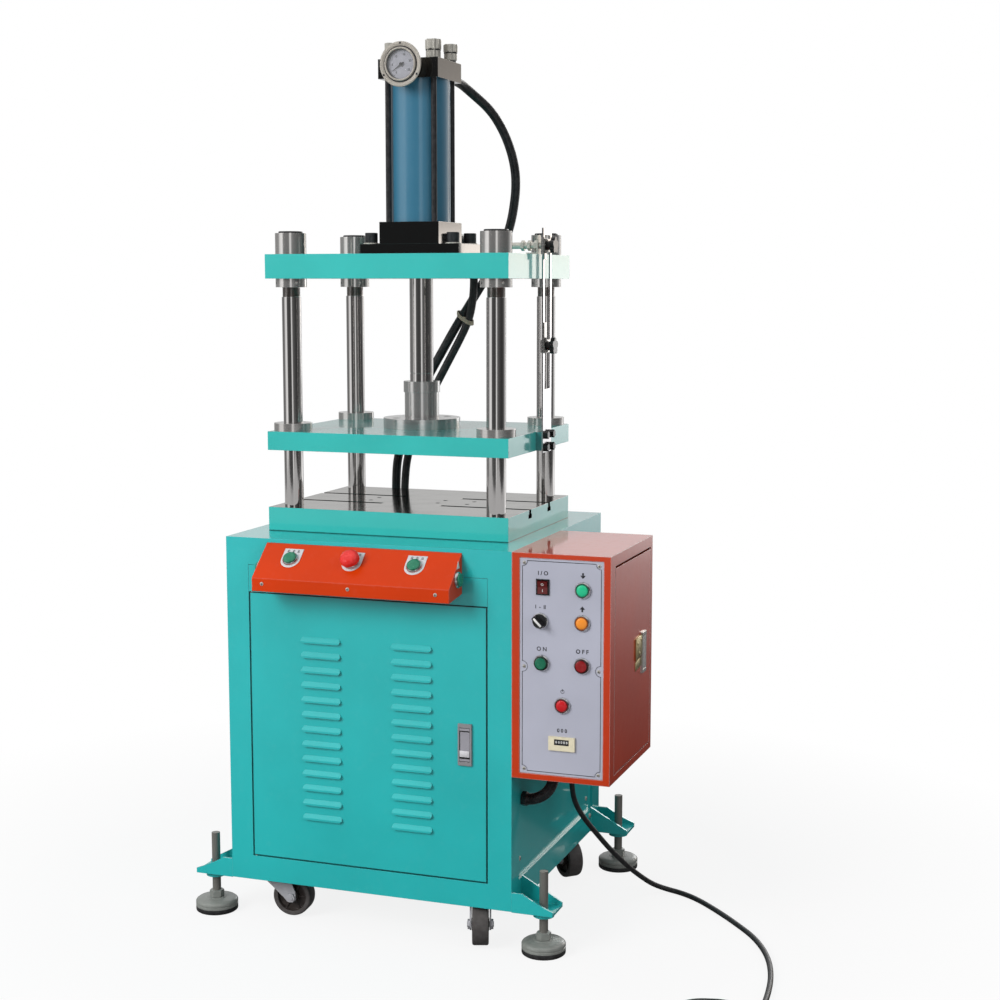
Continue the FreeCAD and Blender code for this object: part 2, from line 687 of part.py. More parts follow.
def make_screws():
    screws = []
    inner_x = CAB_X - CAB_WALL
    for sx in SIDES:
        for y, z in PANEL_SCREWS:
            head = rod(PANEL_SCREW_R + 2, V(sx * inner_x, y, z), RIGHT * sx, 2.5)
            screws.append(joined([head, rod(PANEL_SCREW_R, V(sx * inner_x, y, z), LEFT * sx, 8)]))
        for y, z in EDGE_SCREWS:
            head = rod(EDGE_SCREW_R + 2, V(sx * CAB_X, y, z), RIGHT * sx, 3)
            screws.append(joined([head, rod(EDGE_SCREW_R, V(sx * CAB_X, y, z), LEFT * sx, CAB_WALL)]))
    for x in LIP_SCREW_X:
        front = CON_PROFILE[1][0]
        head = rod(3.5, V(x, front, LIP_SCREW_Z), FRONT, 1.6)
        screws.append(joined([head, rod(SMALL_SCREW_R, V(x, front, LIP_SCREW_Z), BACK, 6)]))
    face = BOX_Y[0] + FACE_SUNK
    for dx, dz in FACE_SCREWS:
        at = V(FACE_X + dx, face, FACE_Z + dz)
        screws.append(joined([rod(3.2, at, FRONT, 1.6), rod(SMALL_SCREW_R, at, BACK, 8)]))
    pin_x = -DOOR_X + HINGE_IN
    pin_y = -CAB_Y + HINGE_IN
    screws.append(upright(PIN_R, pin_x, pin_y, OPEN_LOW - PIN_IN, DOOR_LOW + PIN_UP))
    screws.append(upright(PIN_R, pin_x, pin_y, DOOR_TOP - PIN_UP, UPPER_LOW + PIN_IN))
    side_x, side_y = side_hinge()
    low, high = SIDE_DOOR_Z
    screws.append(upright(PIN_R, side_x, side_y, low - SIDE_PIN_IN, low + SIDE_DOOR_GAP + PIN_UP))
    screws.append(upright(PIN_R, side_x, side_y, high - SIDE_DOOR_TOP_GAP - PIN_UP, high + SIDE_PIN_IN))
    return group(screws)


# Feet and castors


def make_ears():
    ears = []
    low, high = EAR_WEB
    for sx in SIDES:
        for sy in SIDES:
            edge = sx * CAB_X
            tip = sx * (CAB_X + EAR_REACH)
            x0, x1 = sorted((edge, tip))
            y_out = sy * CAB_Y
            y_in = sy * (CAB_Y - EAR_WIDE)
            y0, y1 = sorted((y_out, y_in))
            web = box(x0, x1, y0, y1, low, high)
            boss = upright(BOSS_R, sx * FOOT_X, sy * FOOT_Y, BOSS_LOW, high)
            flat = edge + sx * EAR_FLAT
            mid = edge + sx * (EAR_FLAT + 22)
            start = V(edge, y_out, low)
            outline = [
                Part.makeLine(start, V(edge, y_out, EAR_OUTER_TOP)),
                Part.makeLine(V(edge, y_out, EAR_OUTER_TOP), V(flat, y_out, EAR_OUTER_TOP)),
                Part.Arc(V(flat, y_out, EAR_OUTER_TOP), V(mid, y_out, 103),
                         V(tip, y_out, EAR_TIP_TOP)).toShape(),
                Part.makeLine(V(tip, y_out, EAR_TIP_TOP), V(tip, y_out, low)),
                Part.makeLine(V(tip, y_out, low), start),
            ]
            outer = Part.Face(Part.Wire(outline)).extrude(BACK * (-sy * EAR_FLANGE))
            inner = prism([(edge, y_in, low), (edge, y_in, EAR_INNER_TOP), (tip, y_in, EAR_TIP_TOP),
                           (tip, y_in, low)], BACK * (sy * EAR_FLANGE))
            ear = joined([web, boss, outer, inner])
            ears.append(ear.cut(upright(STEM_R + RUN, sx * FOOT_X, sy * FOOT_Y, BOSS_LOW - THROUGH,
                                        high + THROUGH)))
    return group(ears)


def make_foot(sx, sy):
    x = sx * FOOT_X
    y = sy * FOOT_Y
    at = V(x, y, 0)
    rubber = upright(PAD_R, x, y, 0, PAD_RUBBER)
    cap = turned([(0, PAD_RUBBER), (PAD_R, PAD_RUBBER), (PAD_R, PAD_RIM), (PAD_R - 3, PAD_RIM + 3),
                  (18, PAD_TOP), (0, PAD_TOP)], at, UP)
    nut = hex_bar(FOOT_NUT, V(x, y, PAD_TOP), UP, FOOT_NUT_HIGH)
    nut = nut.cut(upright(STEM_R + SEAT, x, y, PAD_TOP - THROUGH, PAD_TOP + FOOT_NUT_HIGH + THROUGH))
    return group([rubber, cap, nut, upright(STEM_R, x, y, PAD_TOP, STEM_TOP)])


def make_caster_plates():
    parts = []
    wide, deep, thick = CASTER_PLATE
    for x, y, _ in CASTERS.values():
        plate = box(x - wide / 2, x + wide / 2, y - deep / 2, y + deep / 2, TRAY_LOW - thick, TRAY_LOW)
        race = upright(RACE_R, x, y, RACE_LOW, TRAY_LOW - thick + 1)
        king = upright(KING_R, x, y, KING_HEAD[0], TRAY_LOW - thick + 1)
        head = upright(KING_HEAD_R, x, y, KING_HEAD[0], KING_HEAD[1])
        parts.append(joined([plate, race, king, head]))
    return group(parts)


def make_fork(x, y, heading):
    """Fork and axle, with the wheel's centre trailing along the heading."""
    axle_z = WHEEL_LOW + WHEEL_R
    rim_low, rim_thick = CROWN_RIM
    crown = joined([upright(CROWN_R, 0, 0, CROWN[0], CROWN[1]),
                    sleeve(CROWN_R, CROWN_R - rim_thick, 0, 0, rim_low, CROWN[0] + THROUGH)])
    legs = []
    for side in SIDES:
        y0, y1 = sorted((side * LEG_IN, side * LEG_OUT))
        outline = [(-30, y0, CROWN[1]), (31, y0, CROWN[1]), (34, y0, 78), (TRAIL + 9, y0, axle_z + 10),
                   (TRAIL + 10, y0, axle_z - 4), (TRAIL + 4, y0, axle_z - 10), (TRAIL - 7, y0, axle_z - 9),
                   (TRAIL - 14, y0, axle_z - 1), (-30, y0, 86)]
        legs.append(prism(outline, BACK * (y1 - y0)))
    fork = joined([crown] + legs)
    fork = fork.cut(upright(KING_R + RUN, 0, 0, CROWN[0] - THROUGH, CROWN[1] + THROUGH))
    fork = fork.cut(rod(AXLE_R + SEAT, V(TRAIL, -LEG_OUT - THROUGH, axle_z), BACK,
                        2 * LEG_OUT + 2 * THROUGH))
    axle = rod(AXLE_R, V(TRAIL, -LEG_OUT - 5, axle_z), BACK, 2 * LEG_OUT + 10)
    nuts = [hex_bar(16, V(TRAIL, side * LEG_OUT, axle_z), BACK * side, 4) for side in SIDES]
    axle = joined([axle] + nuts)
    return moved(group([fork, axle]), FreeCAD.Placement(V(x, y, 0), FreeCAD.Rotation(UP, heading)))


def make_wheel(x, y, heading):
    axle_z = WHEEL_LOW + WHEEL_R
    half = WHEEL_WIDE / 2
    tread = turned([(WHEEL_R - 9, -half + 1), (WHEEL_R - 2, -half), (WHEEL_R, -half + 3),
                    (WHEEL_R, half - 3), (WHEEL_R - 2, half), (WHEEL_R - 9, half - 1)], V(0, 0, 0), UP)
    hub = LEG_IN - HUB_PLAY
    core = turned([(AXLE_R + RUN, -hub), (HUB_R, -hub), (HUB_R, -4), (WHEEL_R - 9, -6), (WHEEL_R - 9, 6),
                   (HUB_R, 4), (HUB_R, hub), (AXLE_R + RUN, hub)], V(0, 0, 0), UP)
    dx = math.cos(math.radians(heading))
    dy = math.sin(math.radians(heading))
    return aimed(joined([tread, core]), V(x + dx * TRAIL, y + dy * TRAIL, axle_z), V(-dy, dx, 0))


# Press


def make_table():
    table = box(-TABLE_X, TABLE_X, -TABLE_Y, TABLE_Y, CAB_TOP, TABLE_TOP)
    tools = []
    for sx in SIDES:
        x0, x1 = sorted((sx * SLOT_INNER, sx * (TABLE_X + THROUGH)))
        for sy in SIDES:
            y = sy * SLOT_Y
            tools.append(box(x0, x1, y - THROAT / 2, y + THROAT / 2, TABLE_TOP - THROAT_DEEP - THROUGH,
                             TABLE_TOP + THROUGH))
            tools.append(box(x0, x1, y - TEE_WIDE / 2, y + TEE_WIDE / 2, TABLE_TOP - TEE_DEEP,
                             TABLE_TOP - THROAT_DEEP))
            tools.append(upright(COL_R + RUN, sx * COL_X, sy * COL_Y, CAB_TOP - THROUGH,
                                 TABLE_TOP + THROUGH))
    for x, y in TAP_AT:
        tools.append(upright(TAP_R, x, y, TABLE_TOP - TAP_DEEP, TABLE_TOP + THROUGH))
    return drilled(table, tools)


def make_columns():
    columns = []
    for sx in SIDES:
        for sy in SIDES:
            lower = upright(COL_R, sx * COL_X, sy * COL_Y, COL_LOW, NECK_LOW)
            neck = upright(NECK_R, sx * COL_X, sy * COL_Y, NECK_LOW - THROUGH, COL_TOP)
            columns.append(joined([lower, neck]))
    return group(columns)


def make_column_nuts():
    nuts = []
    for sx in SIDES:
        for sy in SIDES:
            x = sx * COL_X
            y = sy * COL_Y
            cap = upright(NUT_R, x, y, HEAD_TOP, HEAD_TOP + NUT_HIGH)
            cap = cap.cut(upright(NECK_R + RUN, x, y, HEAD_TOP - THROUGH, COL_TOP))
            nuts.append(cap)
            collar = sleeve(NUT_R, NECK_R + RUN, x, y, HEAD_LOW - COLLAR_HIGH, HEAD_LOW)
            for step in range(4):
                angle = math.radians(45 + 90 * step)
                out = V(math.cos(angle), math.sin(angle), 0)
                start = V(x, y, HEAD_LOW - COLLAR_HIGH / 2) + out * (NUT_R - SPANNER_DEEP)
                collar = collar.cut(rod(SPANNER_R, start, out, SPANNER_DEEP + THROUGH))
            nuts.append(collar)
            under = CAB_TOP - CAB_LID
            nuts.append(sleeve(NUT_R, COL_R + RUN, x, y, under - LOWER_NUT_HIGH, under))
    return group(nuts)


def make_head_plate():
    head = box(-TABLE_X, TABLE_X, -TABLE_Y, TABLE_Y, HEAD_LOW, HEAD_TOP)
    tools = [upright(ROD_HOLE_R, 0, 0, HEAD_LOW - THROUGH, HEAD_TOP + THROUGH)]
    for sx in SIDES:
        for sy in SIDES:
            tools.append(upright(NECK_R + RUN, sx * COL_X, sy * COL_Y, HEAD_LOW - THROUGH,
                                 HEAD_TOP + THROUGH))
            tools.append(upright(BOLT_R + SEAT, sx * BOLT_X, sy * BOLT_Y, FLANGE_TOP - BOLT_DEEP,
                                 HEAD_TOP + THROUGH))
    return drilled(head, tools)


def make_moving_plate():
    plate = box(-TABLE_X, TABLE_X, -TABLE_Y, TABLE_Y, PLATE_LOW, PLATE_TOP)
    tools = []
    for sx in SIDES:
        for sy in SIDES:
            tools.append(upright(BUSH_R + SEAT, sx * COL_X, sy * COL_Y, PLATE_LOW - THROUGH,
                                 PLATE_TOP + THROUGH))
    for y in (-BAR_BOLT_Y, BAR_BOLT_Y):
        for z in BAR_BOLT_Z:
            tools.append(rod(BAR_BOLT_R + SEAT, V(TABLE_X - BAR_BOLT_IN, y, z), RIGHT,
                             BAR_BOLT_IN + THROUGH))
    for x, y in DISC_BOLTS:
        tools.append(upright(DISC_BOLT_R + SEAT, x, y, PLATE_TOP - DISC_BOLT_IN, PLATE_TOP + THROUGH))
    return drilled(plate, tools)


def make_bushes():
    bushes = []
    for sx in SIDES:
        for sy in SIDES:
            x = sx * COL_X
            y = sy * COL_Y
            body = upright(BUSH_R, x, y, PLATE_LOW, PLATE_TOP + THROUGH)
            flange = upright(BUSH_FLANGE_R, x, y, PLATE_TOP, PLATE_TOP + BUSH_FLANGE_HIGH)
            bush = joined([body, flange])
            bushes.append(bush.cut(upright(COL_R + RUN, x, y, PLATE_LOW - THROUGH,
                                           PLATE_TOP + BUSH_FLANGE_HIGH + THROUGH)))
    return group(bushes)


def make_ram():
    ram = joined([upright(ROD_R, 0, 0, ROD_LOW, PISTON_LOW + THROUGH),
                  upright(PISTON_R, 0, 0, PISTON_LOW, PISTON_LOW + PISTON_HIGH)])
    groove = sleeve(ROD_R + THROUGH, ROD_R - JOINT_GROOVE, 0, 0, ROD_JOINT - 0.6, ROD_JOINT + 0.6)
    return ram.cut(groove)


def make_coupling():
    disc = upright(DISC_R, 0, 0, PLATE_TOP, DISC_TOP)
    neck = upright(COUPLING_R, 0, 0, DISC_TOP - THROUGH, COUPLING_TOP)
    body = joined([disc, neck]).cut(upright(ROD_R + SEAT, 0, 0, ROD_LOW, COUPLING_TOP + THROUGH))
    ring = sleeve(RING_R, ROD_R + SEAT, 0, 0, COUPLING_TOP, RING_TOP)
    bolts = []
    for x, y in DISC_BOLTS:
        seat = DISC_TOP - DISC_HEAD_SUNK
        body = body.cut(upright(DISC_HEAD_R + 0.5, x, y, seat, DISC_TOP + THROUGH))
        body = body.cut(upright(DISC_BOLT_R + SEAT, x, y, PLATE_TOP - THROUGH, DISC_TOP))
        head = upright(DISC_HEAD_R, x, y, seat, DISC_TOP - 1)
        head = head.cut(hex_bar(6, V(x, y, DISC_TOP - 5), UP, 6))
        bolts.append(joined([head, upright(DISC_BOLT_R, x, y, PLATE_TOP - DISC_BOLT_IN, seat + THROUGH)]))
    return group([body, ring] + bolts)


def make_cylinder_blocks():
    flange = box(-FLANGE_X, FLANGE_X, -BLOCK_HALF, BLOCK_HALF, HEAD_TOP, FLANGE_TOP)
    tools = [upright(ROD_R + RUN, 0, 0, HEAD_TOP - THROUGH, LOWER_BLOCK_TOP + THROUGH)]
    for sx in SIDES:
        for sy in SIDES:
            tools.append(upright(BOLT_R + SEAT, sx * BOLT_X, sy * BOLT_Y, HEAD_TOP - THROUGH,
                                 FLANGE_TOP + THROUGH))
    flange = drilled(flange, tools)
    lower = box(-BLOCK_HALF, BLOCK_HALF, -BLOCK_HALF, BLOCK_HALF, FLANGE_TOP, LOWER_BLOCK_TOP)
    upper = box(-BLOCK_HALF, BLOCK_HALF, -BLOCK_HALF, BLOCK_HALF, UPPER_BLOCK_LOW, UPPER_BLOCK_TOP)
    ties = []
    for sx in SIDES:
        for sy in SIDES:
            ties.append(upright(TIE_R + SEAT, sx * TIE_AT, sy * TIE_AT, LOWER_BLOCK_TOP - TIE_IN,
                                UPPER_BLOCK_LOW + TIE_IN))
    lower_port = rod(PORT_R + SEAT, V(LOWER_PORT[0], BLOCK_HALF - LOWER_PORT_DEEP, LOWER_PORT[1]), BACK,
                     LOWER_PORT_DEEP + THROUGH)
    lower = drilled(lower, tools[:1] + ties + [lower_port])
    ports = [rod(PORT_R + SEAT, V(UPPER_PORT[0], BLOCK_HALF - UPPER_PORT_DEEP, UPPER_PORT[1]), BACK,
                 UPPER_PORT_DEEP + THROUGH),
             rod(GAUGE_STEM_R + SEAT, V(GAUGE_X, GAUGE_STEM_IN - BLOCK_HALF, GAUGE_Z), FRONT,
                 GAUGE_STEM_IN + THROUGH)]
    for x, y, _, stem, _ in TOP_FITTINGS:
        ports.append(upright(stem + SEAT, x, y, UPPER_BLOCK_TOP - FITTING_IN, UPPER_BLOCK_TOP + THROUGH))
    return group([flange, lower, drilled(upper, ties + ports)])


def make_cylinder_bolts():
    parts = []
    for sx in SIDES:
        for sy in SIDES:
            parts.append(upright(TIE_R, sx * TIE_AT, sy * TIE_AT, LOWER_BLOCK_TOP - TIE_IN,
                                 UPPER_BLOCK_LOW + TIE_IN))
            x = sx * BOLT_X
            y = sy * BOLT_Y
            head = upright(BOLT_HEAD_R, x, y, FLANGE_TOP, FLANGE_TOP + BOLT_HEAD_HIGH)
            head = head.cut(hex_bar(SOCKET, V(x, y, FLANGE_TOP + BOLT_HEAD_HIGH - SOCKET_DEEP), UP,
                                    SOCKET_DEEP + THROUGH))
            shank = upright(BOLT_R, x, y, FLANGE_TOP - BOLT_DEEP, FLANGE_TOP + THROUGH)
            parts.append(joined([head, shank]))
    return group(parts)


def make_gauge():
    face = V(GAUGE_X, GAUGE_FACE, GAUGE_Z)
    deep = GAUGE_BACK - GAUGE_FACE
    dial_at = GAUGE_DIAL_Y - GAUGE_FACE
    end = GAUGE_STEM_IN - BLOCK_HALF - GAUGE_FACE
    case = turned([(0, dial_at), (GAUGE_DIAL_R, dial_at), (GAUGE_DIAL_R, GLASS_SUNK),
                   (GAUGE_GLASS_R, GLASS_SUNK), (GAUGE_GLASS_R, 0), (GAUGE_RIM_R, 0),
                   (GAUGE_RIM_R, GAUGE_RIM), (GAUGE_CASE_R, GAUGE_RIM), (GAUGE_CASE_R, deep),
                   (GAUGE_STEM_R, deep), (GAUGE_STEM_R, end), (0, end)], face, BACK)
    pin_hole = rod(NEEDLE_PIN_R + PIN_PLAY, V(GAUGE_X, GAUGE_DIAL_Y - 2, GAUGE_Z), BACK, NEEDLE_PIN_LONG)
    case = case.cut(pin_hole)
    dial = rod(GAUGE_DIAL_R - SEAT, V(GAUGE_X, GAUGE_DIAL_Y - 1, GAUGE_Z), BACK, 1).cut(pin_hole)
    glass = rod(GAUGE_GLASS_R - SEAT, V(GAUGE_X, GAUGE_FACE + GLASS_SUNK - GLASS, GAUGE_Z), BACK, GLASS)
    return group([case, dial, glass])


def make_needle():
    front = GAUGE_DIAL_Y - 1 - NEEDLE_OFF - 2
    hub = rod(2.5, V(GAUGE_X, front, GAUGE_Z), BACK, 2)
    pin = rod(NEEDLE_PIN_R, V(GAUGE_X, front, GAUGE_Z), BACK, NEEDLE_PIN_LONG)
    tip = V(-math.sin(math.radians(55)), 0, -math.cos(math.radians(55)))
    across = V(tip.z, 0, -tip.x)
    centre = V(GAUGE_X, front + 0.4, GAUGE_Z)
    corners = [centre + across * 1.1 - tip * 6, centre + tip * NEEDLE_LONG + across * 0.3,
               centre + tip * NEEDLE_LONG - across * 0.3, centre - across * 1.1 - tip * 6]
    blade = Part.Face(Part.makePolygon(corners + corners[:1])).extrude(BACK * 0.8)
    return joined([hub, pin, blade])


def make_fittings():
    parts = []
    for x, y, across, stem, high in TOP_FITTINGS:
        top = UPPER_BLOCK_TOP
        lower = hex_bar(across - 2, V(x, y, top + 3), UP, high * 0.45)
        upper = hex_bar(across, V(x, y, top + 2 + high * 0.45), UP, high * 0.55 - 2)
        neck = upright(across / 2 - 1.5, x, y, top, top + 4)
        parts.append(joined([upright(stem, x, y, top - FITTING_IN, top + 1), neck, lower, upper]))
    for (x, z), radius, long in ((UPPER_PORT, HOSE_UPPER_R, 25), (LOWER_PORT, HOSE_LOWER_R, 45)):
        inside = UPPER_PORT_DEEP if z > UPPER_BLOCK_LOW else LOWER_PORT_DEEP
        stem = rod(PORT_R, V(x, BLOCK_HALF - inside, z), BACK, inside + 2)
        across = 24 if z > UPPER_BLOCK_LOW else 22
        nut = hex_bar(across, V(x, BLOCK_HALF, z), BACK, 13)
        ferrule = rod(radius + 2, V(x, BLOCK_HALF + 12, z), BACK, long - 12)
        parts.append(joined([stem, nut, ferrule]))
    for (x, y), radius in ((HOSE_UPPER_IN, HOSE_UPPER_R), (HOSE_LOWER_IN, HOSE_LOWER_R)):
        stem = upright(BULKHEAD_R, x, y, CAB_TOP - CAB_LID - 14, CAB_TOP + 1)
        nut = hex_bar(22, V(x, y, CAB_TOP), UP, 9)
        ferrule = upright(radius + 2, x, y, CAB_TOP + 8, BULKHEAD_TOP)
        parts.append(joined([stem, nut, ferrule]))
    return group(parts)


# Limit bar


def make_bar():
    x0, x1 = BAR_X
    bar = box(x0, x1, -BAR_Y, BAR_Y, BAR_Z[0], BAR_Z[1])
    bar = bar.cut(box(x0 - THROUGH, x1 + THROUGH, -BAR_SLOT_Y, BAR_SLOT_Y, BAR_SLOT_Z[0], BAR_SLOT_Z[1]))
    spacer = box(TABLE_X, x0, -BAR_Y, BAR_Y, PLATE_LOW, PLATE_TOP)
    bolts = []
    for y in (-BAR_BOLT_Y, BAR_BOLT_Y):
        for z in BAR_BOLT_Z:
            hole = rod(BAR_BOLT_R + SEAT, V(TABLE_X - THROUGH, y, z), RIGHT, x1 - TABLE_X + 2 * THROUGH)
            bar = bar.cut(hole)
            spacer = spacer.cut(hole)
            head = hex_bar(13, V(x1, y, z), RIGHT, 9)
            shank = rod(BAR_BOLT_R, V(TABLE_X - BAR_BOLT_IN, y, z), RIGHT, x1 - TABLE_X + BAR_BOLT_IN + 1)
            bolts.append(joined([head, shank]))
    return group([bar, spacer] + bolts)


def make_dog(z, finger):
    """Clamp plate with its finger, back plate in reach of the sensor, bolt and star knob."""
    x0, x1 = BAR_X
    front = box(x1, x1 + DOG_PLATE, -BAR_Y, BAR_Y, z - DOG_HALF, z + DOG_HALF)
    low, high = sorted((z, z + finger))
    front = joined([front, box(x1, x1 + DOG_PLATE, -BAR_Y - 2, -BAR_Y + 12, low, high)])
    back = box(x0 - DOG_PLATE, x0, -BAR_Y + 3, BAR_Y - 3, z - DOG_HALF, z + DOG_HALF)
    key_y = BAR_SLOT_Y - KEY_PLAY
    clamp = joined([back, box(x0 - THROUGH, x1, -key_y, key_y, z - 8, z + 8)])
    bore = rod(DOG_BOLT_R + SEAT, V(x0 - DOG_PLATE - THROUGH, 0, z), RIGHT, 12)
    start = x1 + DOG_PLATE
    hub = rod(8, V(start, 0, z), RIGHT, 6)
    star = []
    for step in range(5):
        angle = math.radians(18 + 72 * step)
        centre = V(start + 5, KNOB_R * 0.62 * math.cos(angle), z + KNOB_R * 0.62 * math.sin(angle))
        star.append(rod(KNOB_R * 0.38, centre, RIGHT, 8))
    disc = rod(KNOB_R * 0.72, V(start + 5, 0, z), RIGHT, 8)
    bolt = rod(DOG_BOLT_R, V(x0 - DOG_PLATE, 0, z), RIGHT, 10)
    knob = joined([hub, disc] + star + [bolt])
    return group([front.cut(bore), clamp.cut(bore), knob])


def make_sensor():
    x0, x1 = SENSOR_X
    near, far = BRACKET_X
    bracket = joined([box(near, far, -9, 9, HEAD_TOP, HEAD_TOP + 35),
                      box(far - BRACKET_FOOT, far, -9, 9, HEAD_TOP, HEAD_TOP + 3)])
    bore = rod(SENSOR_R + SEAT, V(x0 - THROUGH, 0, SENSOR_Z), RIGHT, x1 - x0 + 2 * THROUGH)
    bracket = bracket.cut(bore)
    body = rod(SENSOR_R, V(x0, 0, SENSOR_Z), RIGHT, x1 - x0)
    nuts = []
    for x in SENSOR_NUT_X:
        nuts.append(hex_bar(SENSOR_NUT, V(x, 0, SENSOR_Z), RIGHT, SENSOR_NUT_LONG).cut(bore))
    return group([bracket, body] + nuts)


# Controls


def slope_place(x):
    top_y, top_z = CON_PROFILE[0]
    low_y, low_z = CON_PROFILE[1]
    z = low_z + (CON_BUTTON_Y - low_y) * (top_z - low_z) / (top_y - low_y)
    return FreeCAD.Placement(V(x, CON_BUTTON_Y, z), FreeCAD.Rotation(RIGHT, CON_SLOPE))


def raised(place):
    return place.multiply(FreeCAD.Placement(V(0, 0, LABEL_THICK), FreeCAD.Rotation()))


def end_place(side):
    x = CON_RIGHT if side > 0 else CON_LEFT
    turn = FreeCAD.Rotation(UP, 90 * side).multiply(FreeCAD.Rotation(RIGHT, 90))
    return FreeCAD.Placement(V(x, CON_END_Y, CON_END_Z), turn)


def face_place(at):
    x, z = at
    return FreeCAD.Placement(V(x, BOX_Y[0] + FACE_SUNK, z), FreeCAD.Rotation(RIGHT, 90))


def button_trim():
    flange = upright(BEZEL_R, 0, 0, 0, BEZEL_HIGH).cut(upright(CAP_R + CAP_PLAY, 0, 0, 0.3, BEZEL_HIGH + 1))
    barrel = upright(BARREL_R, 0, 0, -BARREL_DEEP, 0.2)
    bore = upright(BUTTON_STEM_R + RUN, 0, 0, -BARREL_DEEP - 1, BEZEL_HIGH)
    return joined([flange, barrel]).cut(bore)


def button_cap():
    cap = dome(CAP_R, CAP_LOW, CAP_TOP - 1.5, CAP_TOP, V(0, 0, 0), UP)
    return joined([cap, upright(BUTTON_STEM_R, 0, 0, -BUTTON_STEM_DEEP, CAP_LOW + 1)])


def stop_cap():
    cap = dome(STOP_R, STOP_LOW, STOP_TOP - 8, STOP_TOP, V(0, 0, 0), UP)
    return joined([cap, upright(BUTTON_STEM_R, 0, 0, -BUTTON_STEM_DEEP, STOP_LOW + 1)])


def lamp_lens():
    return dome(CAP_R, 0.3, 4.0, 8.0, V(0, 0, 0), UP)


def selector_knob():
    base = upright(CAP_R, 0, 0, CAP_LOW, 8)
    bar = box(-3.4, 3.4, -CAP_R, CAP_R, 7, 19).common(upright(CAP_R, 0, 0, 0, 30))
    knob = joined([base, bar, upright(BUTTON_STEM_R, 0, 0, -BUTTON_STEM_DEEP, CAP_LOW + 1)])
    return moved(knob, FreeCAD.Placement(V(0, 0, 0), FreeCAD.Rotation(UP, 45)))


def rocker_frame():
    frame = box(-12, 12, -14, 14, 0, 2.5)
    half_x, half_y = ROCKER_HALF
    body = box(-half_x, half_x, -half_y, half_y, -20, 0.5)
    hole = box(-9.4, 9.4, -12.2, 12.2, -9, 4)
    reach = ROCKER_PIN_REACH + 0.2
    pin = rod(ROCKER_PIN_R + PIN_PLAY, V(-reach, 0, -1), RIGHT, 2 * reach)
    return joined([frame, body]).cut(hole).cut(pin)


def rocker_cap():
    profile = [(-9, -11.2, 0.5), (-9, -11.2, 4.4), (-9, 0, 2.6), (-9, 11.2, 4.4), (-9, 11.2, 0.5),
               (-9, 0, -4)]
    pin = rod(ROCKER_PIN_R, V(-ROCKER_PIN_REACH, 0, -1), RIGHT, 2 * ROCKER_PIN_REACH)
    cap = joined([prism(profile, RIGHT * 18), pin])
    tilt = FreeCAD.Placement(V(0, 0, 0), FreeCAD.Rotation(RIGHT, ROCKER_TILT), V(0, 0, -1))
    return moved(cap, tilt)


def counter():
    frame = box(-COUNTER_WIDE / 2, COUNTER_WIDE / 2, -COUNTER_TALL / 2, COUNTER_TALL / 2, 0, 4)
    half_x, half_y = COUNTER_HALF
    body = box(-half_x, half_x, -half_y, half_y, -30, 0.5)
    window = box(-18, 18, -6, 6, 3.2, 5)
    return joined([frame, body]).cut(window)


def label_plate():
    half = LABEL_WIDE / 2
    left = V(-half, LABEL_HIGH, 0)
    right = V(half, LABEL_HIGH, 0)
    edges = [
        Part.makeLine(left, right),
        Part.makeLine(right, V(half, 0, 0)),
        Part.Arc(V(half, 0, 0), V(0, -half, 0), V(-half, 0, 0)).toShape(),
        Part.makeLine(V(-half, 0, 0), left),
    ]
    plate = Part.Face(Part.Wire(edges)).extrude(UP * LABEL_THICK)
    return plate.cut(upright(PANEL_HOLE_R, 0, 0, -1, 2))


def make_trims():
    parts = []
    for x in CON_BUTTON_X:
        parts.append(moved(label_plate(), slope_place(x)))
        parts.append(moved(button_trim(), raised(slope_place(x))))
    for side in SIDES:
        parts.append(moved(button_trim(), end_place(side)))
    for at in LAMPS_AT + (SELECTOR_AT, START_AT, STOP_AT):
        parts.append(moved(button_trim(), face_place(at)))
    parts.append(moved(rocker_frame(), face_place(ROCKER_AT)))
    parts.append(moved(counter(), face_place(COUNTER_AT)))
    return group(parts)


def make_console():
    outer = [(y, z) for y, z in CON_PROFILE]
    inner = inset(outer, (CON_WALL, CON_WALL, CON_WALL, -2.0))
    shell = prism([(CON_LEFT, y, z) for y, z in outer], RIGHT * (CON_RIGHT - CON_LEFT))
    hollow = prism([(CON_LEFT + CON_WALL, y, z) for y, z in inner],
                   RIGHT * (CON_RIGHT - CON_LEFT - 2 * CON_WALL))
    tools = [hollow]
    bore = upright(PANEL_HOLE_R, 0, 0, -10, 10)
    for x in CON_BUTTON_X:
        tools.append(moved(bore, slope_place(x)))
    for side in SIDES:
        tools.append(moved(bore, end_place(side)))
    for x in LIP_SCREW_X:
        tools.append(rod(SMALL_SCREW_R + SEAT, V(x, CON_PROFILE[1][0] - 1, LIP_SCREW_Z), BACK, 6))
    return drilled(shell, tools)


# Electric box


def side_hinge():
    return BOX_X[1] - HINGE_IN, SIDE_DOOR_Y[0] + SIDE_DOOR_GAP + HINGE_IN


